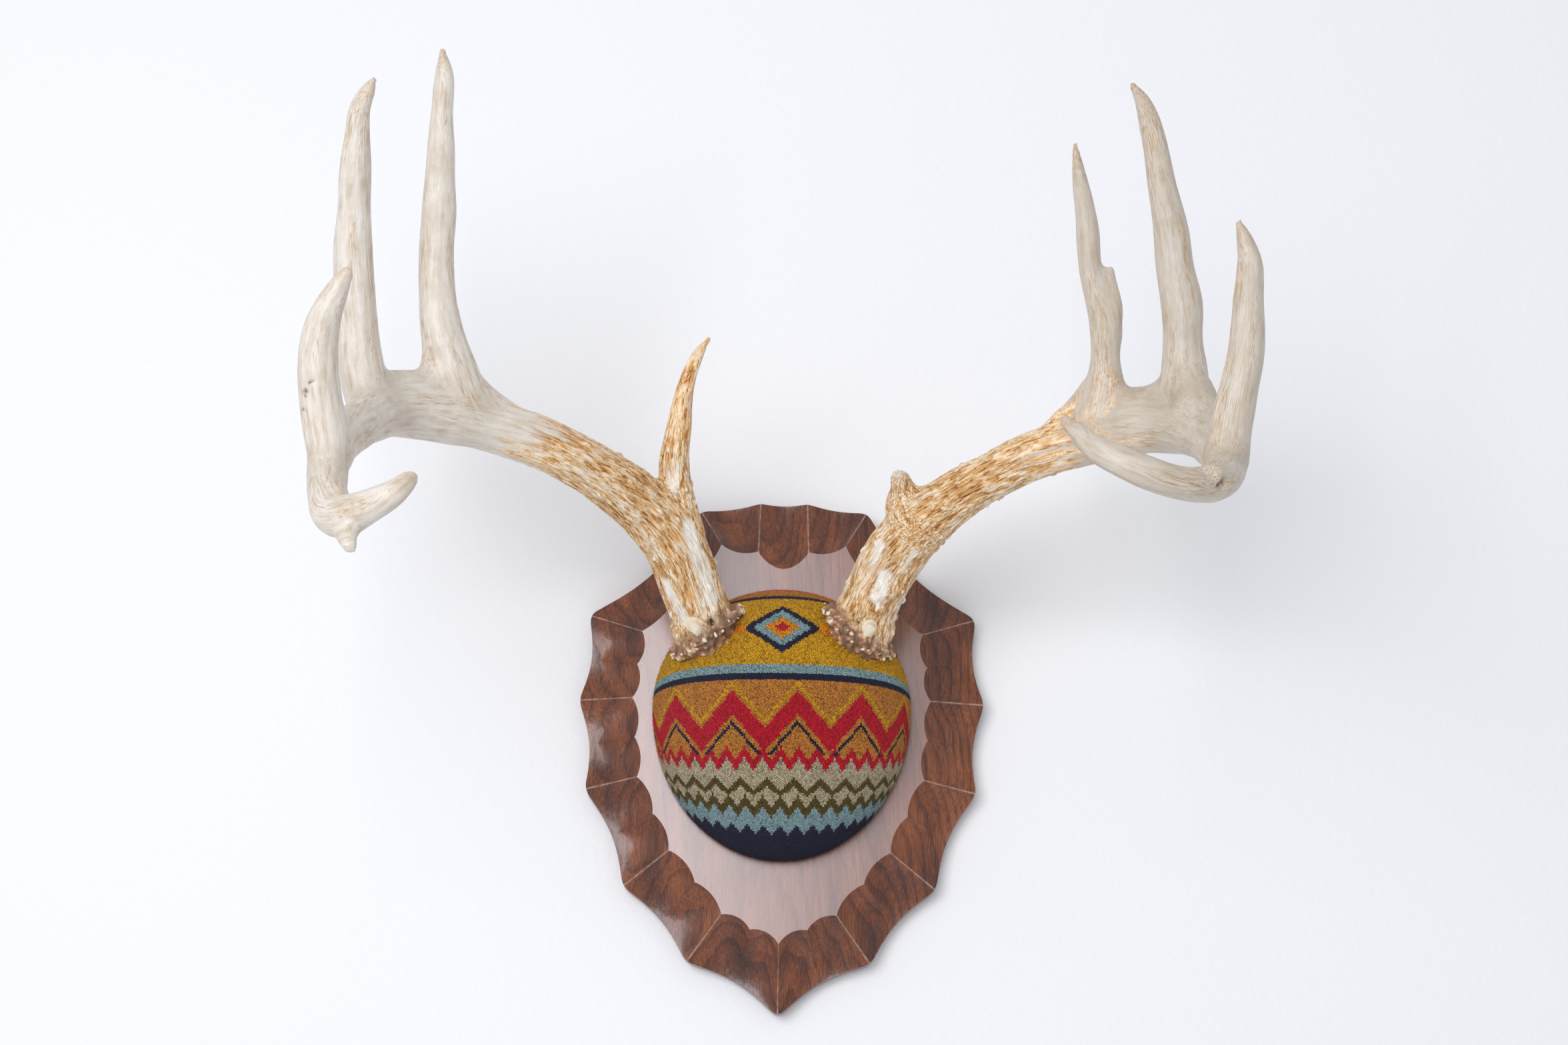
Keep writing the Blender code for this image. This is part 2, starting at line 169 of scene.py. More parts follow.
def normalsOf(mesh):
    normals = np.empty(len(mesh.vertices) * 3)
    mesh.vertices.foreach_get("normal", normals)
    return normals.reshape(-1, 3)


def storeValues(mesh, name, values):
    vector = values.ndim == 2
    layer = mesh.attributes.new(name, "FLOAT_VECTOR" if vector else "FLOAT", "POINT")
    layer.data.foreach_set("vector" if vector else "value", values.astype(np.float32).ravel())


def smoothStep(low, high, values):
    share = np.clip((values - low) / (high - low), 0.0, 1.0)
    return share * share * (3.0 - 2.0 * share)


# Antlers
leftAntler = {
    "limbs": {
        "beam": [(-42, 58, 60, 35), (-50, 72, 80, 33.5), (-61, 88, 103, 34),
                 (-80, 106, 121, 31.5), (-110, 131, 136, 28), (-140, 147, 146, 28),
                 (-170, 161, 149.5, 28), (-192, 175, 149, 28), (-207, 196, 142, 27),
                 (-216, 236, 120, 24.5), (-218, 270, 100, 22.5), (-215, 298, 81, 20),
                 (-209.5, 320, 62, 19), (-202.3, 334, 50, 21), (-186, 347, 51, 15.5),
                 (-174, 352, 57, 11.5), (-168, 351, 63.5, 8),
                 (-166, 351, 66, 4)],
        "browTine": [(-54, 88, 106, 22), (-59.3, 98, 129, 18.3), (-60.3, 106.6, 144, 16),
                     (-57.7, 118.5, 163.5, 13.3), (-53.5, 132, 182, 9), (-47.5, 142.5, 194, 6.5),
                     (-41.2, 150, 201, 2)],
        "secondTine": [(-166, 160, 152, 24), (-176, 168, 173, 27.5), (-181.5, 175, 194, 23),
                       (-184.5, 185, 221, 19.5), (-183.5, 195, 248, 18), (-182.3, 207, 276, 16),
                       (-180.8, 218.5, 301, 11.8), (-179.9, 227, 318.7, 9), (-180.8, 232, 329, 2)],
        "thirdTine": [(-212, 197, 143, 26), (-217.5, 203, 162, 24.5), (-220.5, 210, 186, 21.3),
                      (-222.6, 221, 215, 21), (-221.5, 232, 243, 17.8), (-220, 245, 269, 14.5),
                      (-217.5, 254, 286, 10.5), (-213, 259, 294, 7.5), (-209.6, 262, 299, 2.4)],
        "fourthTine": [(-214, 300, 80, 18), (-215, 305.5, 95, 20.3), (-217.7, 311, 112, 21),
                       (-218.8, 316, 126, 18.8), (-216.5, 325, 145, 16.5),
                       (-209.5, 332.5, 159, 10.5), (-203.4, 337.5, 168.2, 5)],
    },
    # short rounded ribs that fill the forks, and the kicker under the hook
    "ribs": [
        [(-172, 162, 156, 22), (-184, 169, 163, 20), (-197, 179, 161, 19.5), (-213, 198, 154, 21)],
        [(-138, 148, 149, 18), (-150, 153, 155.5, 18), (-162.5, 160, 162.5, 18),
         (-172, 166, 173, 18), (-177.5, 170, 185, 17)],
        [(-200, 337, 48, 15), (-196, 345.5, 37.5, 11), (-192.7, 351, 29.8, 6)],
        [(-187, 172, 166, 16), (-185, 173, 174, 15), (-184, 174, 182, 15)],
    ],
    "burr": {"centre": (-42, 60, 60), "direction": (-0.58, 0.40, 0.71), "seed": 11},
    "pegs": [[(-50, 70, 66, 7), (-49.5, 77, 61, 6.5), (-46.3, 83.5, 54, 5.5)]],
    "lumps": [(-66, 84, 93, 2.6), (-40, 84, 93, 2.2), (-219.5, 318, 114, 4.2)],
    # worn pale patches: from, to and half width
    "worn": [((-51.5, 104, 108), (-38, 84, 73), 5.0), ((-65, 88, 79), (-54, 78, 61), 3.6),
             ((-62, 104, 122), (-60, 112, 148), 3.5)],
    # sunk dark marks: place, half width and depth
    "scars": [((-224.0, 321, 113), 1.9, 1.0), ((-221.5, 324, 116), 1.3, 0.7),
              ((-225.5, 316, 106), 1.4, 0.7), ((-206, 305, 95), 1.5, 0.6),
              ((-39.5, 80, 60.5), 2.0, 1.8)],
    # millimetres along the beam: how far it is fully rough and stained, and where that ends
    "roughUntil": 118.0,
    "smoothFrom": 178.0,
    "stainUntil": 93.0,
    "palePast": 222.0,
    "tan": 0.09,               # how much tan is left in the pale part, and more in the forks
    "tanAtJoins": 0.8,
}

rightAntler = {
    "limbs": {
        "beam": [(42, 58, 61, 35), (50, 71, 80, 33), (61, 88, 98, 33.5), (72, 104, 109, 33),
                 (88, 122, 119, 28.5), (108, 141, 127, 25), (134, 158, 136, 26.5),
                 (160, 173, 140, 27.5), (188, 195, 140, 27), (204, 220, 131, 25.5),
                 (210, 260, 110, 22), (207, 300, 87, 20), (196, 329, 72.5, 18.5),
                 (178, 352, 65.5, 16), (156, 360, 70, 14.7), (142, 357, 78, 12),
                 (126.6, 342, 98, 6)],
        "browStub": [(77, 110, 110, 27), (66.5, 112, 119, 25), (63.5, 121, 128, 12.5),
                     (61.6, 125.5, 132, 9.5), (60.6, 127.6, 134.2, 5)],
        "secondTine": [(161, 179, 143, 24), (165.7, 185, 162, 21.5), (165.9, 191, 180, 16),
                       (165.5, 197, 196, 17), (161.3, 202.5, 208.5, 15), (157, 208.5, 222, 12),
                       (154, 219, 244, 11.4), (150, 228, 261, 9.6), (146.2, 238, 278.7, 3)],
        "thirdTine": [(202, 206, 142, 27), (203, 212, 158, 25.5), (202, 219, 178, 20.5),
                      (200.5, 226, 196, 21), (196.5, 234, 214.6, 19.4), (193, 243, 233, 17),
                      (188, 252, 250, 14.6), (182.5, 264, 273, 11.3), (177, 272, 286, 8),
                      (170.5, 278, 293.6, 2.2)],
        "fourthTine": [(208, 297, 92, 22), (210.3, 303, 107, 20), (213, 307, 123, 18.4),
                       (216, 312, 139, 17.8), (217, 320, 162, 14.6), (217.2, 328, 180, 12),
                       (214, 332.5, 190.5, 8), (210.6, 336, 198, 2.4)],
    },
    # ribs that fill the forks, and the ledge where the second tine is chipped
    "ribs": [
        [(164, 177, 149, 22), (172, 183, 153.5, 19), (186, 193, 153, 19.5), (201, 210, 148, 23)],
        [(136, 160, 138, 18), (146, 168, 147, 18), (156.5, 176, 157, 17), (164.5, 184, 170, 14)],
        [(184, 196, 153, 16), (193, 204, 155, 16), (200, 213, 162, 15)],
        [(203, 216, 160, 20), (207, 224, 145, 22), (208, 232, 128, 22)],
        [(168.8, 198, 193, 10), (169.6, 203, 204, 8.5), (167.6, 206, 213, 8),
         (165.8, 208, 222.5, 6.5)],
    ],
    # smooth pale pegs that stand forward from the burr
    "pegs": [[(45, 66, 67, 7), (47, 73, 62, 7), (48.3, 81, 57, 6.4)]],
    "burr": {"centre": (42, 60, 61), "direction": (0.58, 0.40, 0.71), "seed": 27},
    "lumps": [(54, 88.5, 81, 5.6), (51, 87.5, 75, 4.2), (58, 90, 76, 3.6), (65, 89.5, 78, 3.0),
              (53, 84, 68, 3.0), (50, 103, 102, 2.6), (193, 345.5, 70.5, 6.2),
              (199, 341, 68, 5.0)],
    "worn": [((55, 97, 83), (51, 90, 70), 4.6), ((51, 106, 98), (41, 90, 75), 4.4),
             ((71, 111, 92), (62, 98, 80), 2.8), ((61, 127, 135), (64, 121, 128), 4.6),
             ((72, 108, 112), (60, 92, 92), 1.8)],
    "scars": [((198.2, 348.5, 66.5), 1.7, 1.0), ((197.2, 349, 62.8), 1.3, 0.7),
              ((41.8, 81, 63), 2.0, 1.8)],
    "roughUntil": 132.0,
    "smoothFrom": 205.0,
    "stainUntil": 107.0,
    "palePast": 262.0,
    "tan": 0.40,
    "tanAtJoins": 0.8,
}

antlerSizes = {
    "voxel": 1.46,             # millimetres between points before the rough part is made finer
    "tubeSides": 5,            # bevel steps of a limb
    "gnarlSpacing": 22.0,      # the gentle lumps along a limb
    "gnarlHeight": 0.9,
    "flowRounds": 14,
    "fillRounds": 95,          # how softly the forks are filleted
    "burrRadius": 22.5,
    "burrThickness": 9.0,
    "beads": 31,
    "beadSize": 2.0,
    "pearls": 25,              # small ivory ones that stand on the rim
    "pearlSize": 1.35,
    "pearlRing": 23.2,
    "fineBeyond": 22.0,        # how far past the rough part the finer faces go
    "leastGirth": 3.2,         # how blunt a tip is
    # the burr's body: places along it in thicknesses, and widths in radii
    "burrProfile": [(-1.6, 0.72), (-0.6, 0.9), (0.0, 0.98), (0.5, 0.86), (1.6, 0.68)],
    "fillBeyond": (26.0, 40.0),        # from the burr's middle: where the filleting sets in
    "fillPull": 0.55,
    "settling": (0.5, -0.52),  # in and out, so that smoothing doesn't thin a limb
    "tineApart": 60.0,         # keeps the patterns of neighbouring tines apart
    "roughAlongTine": 1.6,     # a tine turns smooth this much sooner than the beam
    "stainAlongTine": 0.95,
    "joinBlend": 0.8,          # in radii, where a tine's pattern gives way to the beam's
    "tip": (16.0, 2.0),        # millimetres from the end: where the handled tone comes in
    # millimetres along a limb and twice across it: how ridges wander, and the faint ripples
    "swaySize": (15.0, 8.0, 8.0),
    "sway": (0.0, 6.0, 6.0),
    "rippleSize": (60.0, 6.0, 6.0),
    "pearlStretch": (0.62, 1.0, 1.0),
    "nodulesPerMetre": 270.0,
}

boneLook = {
    # patterns in millimetres, along a limb and twice across it; real furrows are about 0.3 mm
    # wide, which wouldn't show, so the finest are drawn about twice as coarse
    "fine": (9.0, 0.6, 0.6),
    "middle": (24.0, 2.6, 2.6),
    "broad": (55.0, 9.0, 9.0),
    "wander": (15.0, 1.5, 1.5),
    "hairline": (11.0, 0.5, 0.5),
    "stained": [(0.08, "#6a3f1f"), (0.20, "#a56a33"), (0.31, "#cc9350"), (0.43, "#e2b072"),
                (0.55, "#efcb9b"), (0.67, "#f6e2c4"), (0.83, "#faf2e5")],
    "ivory": [(0.34, "#c6b9a5"), (0.43, "#dad0c1"), (0.53, "#e6dfd4"), (0.66, "#eeeae2")],
    "burr": [(0.45, "#4a2b20"), (0.66, "#80543f"), (0.86, "#a9795a"), (1.0, "#cfab86")],
    "aged": "#9f9079",
    "streak": "#b08d64",
    "worn": "#f8f2e6",
    "bead": "#e6dac2",
    "tip": "#b58c62",
    "scar": "#3d2a1c",
}

reliefSizes = {
    "Ridge Spacing": 3.1,      # millimetres across a limb
    "Ridge Length": 22.0,
    "Ridge Height": 0.9,
    "Pearl Spacing": 6.4,
    "Pearl Height": 1.3,
    "Ripple Height": 0.28,
    "Burr Grain": 1.1,
}


def place(span, reach, rise):
    return Vector((span, -reach, rise)) * mm


def limbPath(stations, step=1.0):
    # points every millimetre on a smooth line through the stations, with the girth at each
    knots = np.array([(span, -reach, rise, girth) for span, reach, rise, girth in stations], float)
    spans = np.linalg.norm(np.diff(knots[:, :3], axis=0), axis=1)
    at = np.concatenate([[0.0], np.cumsum(spans)])
    headings = np.diff(knots, axis=0) / spans[:, None]
    slopes = np.concatenate([headings[:1], (headings[1:] + headings[:-1]) / 2, headings[-1:]])
    along = np.append(np.arange(0.0, at[-1], step), at[-1])
    first = np.clip(np.searchsorted(at, along, side="right") - 1, 0, len(spans) - 1)
    length = spans[first][:, None]
    share = (along[:, None] - at[first][:, None]) / length
    line = ((1 + 2 * share) * (1 - share) ** 2 * knots[first]
            + share * (1 - share) ** 2 * length * slopes[first]
            + share ** 2 * (3 - 2 * share) * knots[first + 1]
            + share ** 2 * (share - 1) * length * slopes[first + 1])
    line[:, 3] = np.maximum(line[:, 3], antlerSizes["leastGirth"])
    return line, along


def limbFlow(points, path):
    # for each point: how far along the limb, where across it, and how many radii off its middle
    line, along = path
    middles = line[:, :3]
    headings = np.gradient(middles, axis=0)
    headings /= np.linalg.norm(headings, axis=1)[:, None]
    sides = np.empty_like(headings)
    side = np.cross(headings[0], (0.3, 0.1, 1.0))
    for index, heading in enumerate(headings):
        side = side - heading * (side @ heading)
        side = side / np.linalg.norm(side)
        sides[index] = side
    others = np.cross(headings, sides)
    nearest = np.empty(len(points), int)
    for begin in range(0, len(points), 20000):
        block = points[begin:begin + 20000]
        apart = (middles ** 2).sum(1)[None, :] - 2 * block @ middles.T
        nearest[begin:begin + 20000] = apart.argmin(1)
    offset = points - middles[nearest]
    flow = np.stack([along[nearest] + (offset * headings[nearest]).sum(1),
                     (offset * sides[nearest]).sum(1), (offset * others[nearest]).sum(1)], 1)
    radii = np.linalg.norm(offset, axis=1) / (line[nearest, 3] / 2)
    return flow, radii


def tubes(name, lines):
    # every limb as a bevelled line of one curve, made a mesh
    curve = bpy.data.curves.new(name, "CURVE")
    curve.dimensions = "3D"
    curve.bevel_depth = 1.0
    curve.bevel_resolution = antlerSizes["tubeSides"]
    curve.use_fill_caps = True
    for line in lines:
        spline = curve.splines.new("POLY")
        spline.points.add(len(line) - 1)
        for point, (x, y, z, girth) in zip(spline.points, line):
            point.co = (x * mm, y * mm, z * mm, 1.0)
            point.radius = girth / 2 * mm
    piece = addPiece(name, curve)
    mesh = plainMesh(piece)
    bpy.data.objects.remove(piece, do_unlink=True)
    return mesh


def beadTree():
    # pearls round the rim of a burr, each of its own size and a little out of line
    tree, given = geometryTree("burrBeads", {"Beads": 24, "Rim Radius": 0.0225, "Bead Size": 0.003,
                                             "Stray": 0.001, "Seed": 1, "Finish": boneFinish})
    ring = addNode(tree, "GeometryNodeMeshCircle",
                   {"Vertices": given.outputs["Beads"], "Radius": given.outputs["Rim Radius"]})
    ways = addNode(tree, "FunctionNodeRandomValue",
                   {0: (-1.0, -1.0, -2.2), 1: (1.0, 1.0, 2.2), "Seed": given.outputs["Seed"]},
                   data_type="FLOAT_VECTOR")
    stray = addNode(tree, "ShaderNodeVectorMath",
                    {0: ways, "Scale": given.outputs["Stray"]}, operation="SCALE")
    strewn = addNode(tree, "GeometryNodeSetPosition", {"Geometry": ring, "Offset": stray})
    bead = addNode(tree, "GeometryNodeMeshIcoSphere",
                   {"Radius": given.outputs["Bead Size"], "Subdivisions": 2})
    sizes = addNode(tree, "FunctionNodeRandomValue",
                    {2: 0.72, 3: 1.22, "Seed": given.outputs["Seed"]}, data_type="FLOAT")
    turn = addNode(tree, "FunctionNodeRandomValue",
                   {0: (0.0, 0.0, 0.0), 1: (6.28, 6.28, 6.28), "Seed": given.outputs["Seed"]},
                   data_type="FLOAT_VECTOR")
    stretch = addNode(tree, "ShaderNodeVectorMath",
                      {0: (1.0, 1.25, 0.9), "Scale": sizes}, operation="SCALE")
    strung = addNode(tree, "GeometryNodeInstanceOnPoints",
                     {"Points": strewn, "Instance": bead, "Rotation": turn, "Scale": stretch})
    real = addNode(tree, "GeometryNodeRealizeInstances", {0: strung})
    coated = addNode(tree, "GeometryNodeSetMaterial",
                     {"Geometry": real, "Material": given.outputs["Finish"]})
    addNode(tree, "NodeGroupOutput", {0: coated})
    return tree


def beadRing(seat, seed, count, radius, size, stray):
    # one ring of beads, set where the burr is
    piece = addPiece("beadRing", bpy.data.meshes.new("beadRing"))
    applyTree(piece, beadsTree, {"Beads": count, "Seed": seed, "Rim Radius": radius * mm,
                                 "Bead Size": size * mm, "Stray": stray * mm,
                                 "Finish": boneFinish})
    mesh = piece.data
    bpy.data.objects.remove(piece, do_unlink=True)
    mesh.transform(seat)
    return mesh


def limbNoise(tree, flows, size, detail, shift=0.0):
    # noise drawn out along the limbs, blended where a tine leaves the beam
    beam, tine, share = flows
    values = []
    for flow in (beam, tine):
        scaled = addNode(tree, "ShaderNodeVectorMath", {0: flow, 1: size}, operation="DIVIDE")
        moved = addNode(tree, "ShaderNodeVectorMath", {0: scaled, 1: (shift,) * 3})
        cloud = addNode(tree, "ShaderNodeTexNoise",
                        {"Vector": moved, "Scale": 1.0, "Detail": detail, "Roughness": 0.55})
        values.append(cloud)
    mixed = addNode(tree, "ShaderNodeMix",
                    {0: share, 2: values[0], 3: values[1]}, data_type="FLOAT")
    return mixed


def boneMaterial():
    # Weathered antler, a bare bone surface left as it grew: tobacco-brown stain lies in the
    # furrows, the crests are worn to cream, and the tines are rubbed smooth to a low sheen
    finish, tree, shader = newFinish("weatheredAntler")
    given = {name: addNode(tree, "ShaderNodeAttribute", attribute_name=name)
             for name in ("beamFlow", "tineFlow", "tineShare", "rough", "stain", "crest", "pearl",
                          "nodule", "worn", "scar", "tip", "burr", "beadTop", "tan")}
    flows = (given["beamFlow"].outputs["Vector"], given["tineFlow"].outputs["Vector"],
             given["tineShare"].outputs["Fac"])
    value = {name: node.outputs["Fac"] for name, node in given.items()}
    look = boneLook
    fine = limbNoise(tree, flows, look["fine"], 3.0)
    middle = limbNoise(tree, flows, look["middle"], 2.5, 7.3)
    broad = limbNoise(tree, flows, look["broad"], 2.0, 3.1)
    wander = limbNoise(tree, flows, look["wander"], 2.5, 11.7)
    fromLine = addNode(tree, "ShaderNodeMath", {0: wander, 1: 0.5}, operation="SUBTRACT")
    distance = addNode(tree, "ShaderNodeMath", {0: fromLine}, operation="ABSOLUTE")
    groove = addNode(tree, "ShaderNodeMapRange",
                     {0: distance, 1: 0.0, 2: 0.055, 3: 1.0, 4: 0.0},
                     interpolation_type="SMOOTHSTEP")

    # stained part: brown in the furrows, tan on the slopes, cream on the crests
    crests = addNode(tree, "ShaderNodeMath",
                     {0: value["crest"], 1: 0.27, 2: -0.03}, operation="MULTIPLY_ADD")
    grooved = addNode(tree, "ShaderNodeMath",
                      {0: groove, 1: -0.25, 2: crests}, operation="MULTIPLY_ADD")
    grained = addNode(tree, "ShaderNodeMath",
                      {0: fine, 1: 0.44, 2: grooved}, operation="MULTIPLY_ADD")
    patched = addNode(tree, "ShaderNodeMath",
                      {0: broad, 1: 0.44, 2: grained}, operation="MULTIPLY_ADD")
    pearled = addNode(tree, "ShaderNodeMath",
                      {0: value["pearl"], 1: 0.10, 2: patched}, operation="MULTIPLY_ADD")
    stained = addNode(tree, "ShaderNodeValToRGB", {0: pearled}, stops=look["stained"])

    # pale part: ivory clouded with grey, and tan hairlines that gather in patches
    where = addNode(tree, "ShaderNodeTexCoord")
    cloud = addNode(tree, "ShaderNodeTexNoise", {"Vector": where.outputs["Object"], "Scale": 95.0,
                                                 "Detail": 4.0, "Roughness": 0.6})
    cast = addNode(tree, "ShaderNodeMath", {0: middle, 1: 0.6}, operation="MULTIPLY")
    clouded = addNode(tree, "ShaderNodeMath",
                      {0: cloud, 1: 0.4, 2: cast}, operation="MULTIPLY_ADD")
    ivory = addNode(tree, "ShaderNodeValToRGB", {0: clouded}, stops=look["ivory"])
    hairline = limbNoise(tree, flows, look["hairline"], 2.5, 17.0)
    streaks = addNode(tree, "ShaderNodeMapRange",
                      {0: hairline, 1: 0.44, 2: 0.66}, interpolation_type="SMOOTHSTEP")
    patches = addNode(tree, "ShaderNodeMapRange", {0: broad, 1: 0.46, 2: 0.64, 3: 0.08, 4: 0.72},
                      interpolation_type="SMOOTHSTEP")
    gathered = addNode(tree, "ShaderNodeMath",
                       {0: value["tan"], 1: 0.5, 2: patches}, operation="MULTIPLY_ADD")
    streakShare = addNode(tree, "ShaderNodeMath",
                          {0: streaks, 1: gathered}, operation="MULTIPLY", use_clamp=True)
    darkened = addNode(tree, "ShaderNodeMix",
                       {0: value["tan"], 6: ivory, 7: linear(look["aged"])}, data_type="RGBA")
    pale = addNode(tree, "ShaderNodeMix",
                   {0: streakShare, 6: darkened, 7: linear(look["streak"])}, data_type="RGBA")

    edge = addNode(tree, "ShaderNodeMath", {0: broad, 1: 1.1, 2: -0.55}, operation="MULTIPLY_ADD")
    reachOfStain = addNode(tree, "ShaderNodeMath", {0: value["stain"], 1: edge})
    streakEdge = addNode(tree, "ShaderNodeMath",
                         {0: middle, 1: -1.2, 2: 0.6}, operation="MULTIPLY_ADD")
    ragged = addNode(tree, "ShaderNodeMath", {0: reachOfStain, 1: streakEdge})
    stainShare = addNode(tree, "ShaderNodeMapRange",
                         {0: ragged, 1: 0.18, 2: 0.72}, interpolation_type="SMOOTHSTEP")
    body = addNode(tree, "ShaderNodeMix", {0: stainShare, 6: pale, 7: stained}, data_type="RGBA")

    # worn patches keep a few brown flecks
    flecks = addNode(tree, "ShaderNodeMapRange",
                     {0: fine, 1: 0.30, 2: 0.42}, interpolation_type="SMOOTHSTEP")
    onCrests = addNode(tree, "ShaderNodeMapRange",
                       {0: value["crest"], 1: 0.0, 2: 0.35, 3: 0.75, 4: 1.0})
    crestFlecks = addNode(tree, "ShaderNodeMath", {0: flecks, 1: onCrests}, operation="MULTIPLY")
    wornShare = addNode(tree, "ShaderNodeMath",
                        {0: value["worn"], 1: crestFlecks}, operation="MULTIPLY")
    rubbed = addNode(tree, "ShaderNodeMix",
                     {0: wornShare, 6: body, 7: linear(look["worn"])}, data_type="RGBA")

    # the burr is a dull red brown, with ivory on the beads
    burrShade = addNode(tree, "ShaderNodeMath",
                        {0: value["nodule"], 1: 0.55, 2: cloud}, operation="MULTIPLY_ADD")
    burrTone = addNode(tree, "ShaderNodeValToRGB", {0: burrShade}, stops=look["burr"])
    burrShare = addNode(tree, "ShaderNodeMath", {0: value["burr"], 1: 0.88}, operation="MULTIPLY")
    footed = addNode(tree, "ShaderNodeMix",
                     {0: burrShare, 6: rubbed, 7: burrTone}, data_type="RGBA")
    beaded = addNode(tree, "ShaderNodeMix",
                     {0: value["beadTop"], 6: footed, 7: linear(look["bead"])}, data_type="RGBA")

    # tips handled to a warm tan, scars dark
    tipTone = addNode(tree, "ShaderNodeMath", {0: value["tip"], 1: 0.26}, operation="MULTIPLY")
    tipped = addNode(tree, "ShaderNodeMix",
                     {0: tipTone, 6: beaded, 7: linear(look["tip"])}, data_type="RGBA")
    scarShare = addNode(tree, "ShaderNodeMath", {0: value["scar"], 1: 0.9}, operation="MULTIPLY")
    marked = addNode(tree, "ShaderNodeMix",
                     {0: scarShare, 6: tipped, 7: linear(look["scar"])}, data_type="RGBA")
    tree.links.new(marked.outputs[2], shader.inputs["Base Color"])

    gloss = addNode(tree, "ShaderNodeMapRange", {0: value["rough"], 3: 0.40, 4: 0.60})
    tree.links.new(gloss.outputs[0], shader.inputs["Roughness"])

    # grain that is too fine for the mesh: hairline furrows, deeper in the stained part
    grooving = addNode(tree, "ShaderNodeMath",
                       {0: value["burr"], 1: -0.85, 2: 1.0}, operation="MULTIPLY_ADD")
    rubbing = addNode(tree, "ShaderNodeMath", {0: value["worn"], 1: -0.6, 2: grooving},
                      operation="MULTIPLY_ADD", use_clamp=True)
    bare = addNode(tree, "ShaderNodeMath", {0: value["rough"], 1: rubbing}, operation="MULTIPLY")
    depth = addNode(tree, "ShaderNodeMapRange", {0: bare, 3: 0.12, 4: 1.0})
    lined = addNode(tree, "ShaderNodeMath",
                    {0: groove, 1: -0.45, 2: fine}, operation="MULTIPLY_ADD")
    furrows = addNode(tree, "ShaderNodeMath", {0: lined, 1: depth}, operation="MULTIPLY")
    bump = addNode(tree, "ShaderNodeBump",
                   {"Height": furrows, "Strength": 0.8, "Distance": 0.0011})
    tree.links.new(bump.outputs[0], shader.inputs["Normal"])
    return finish


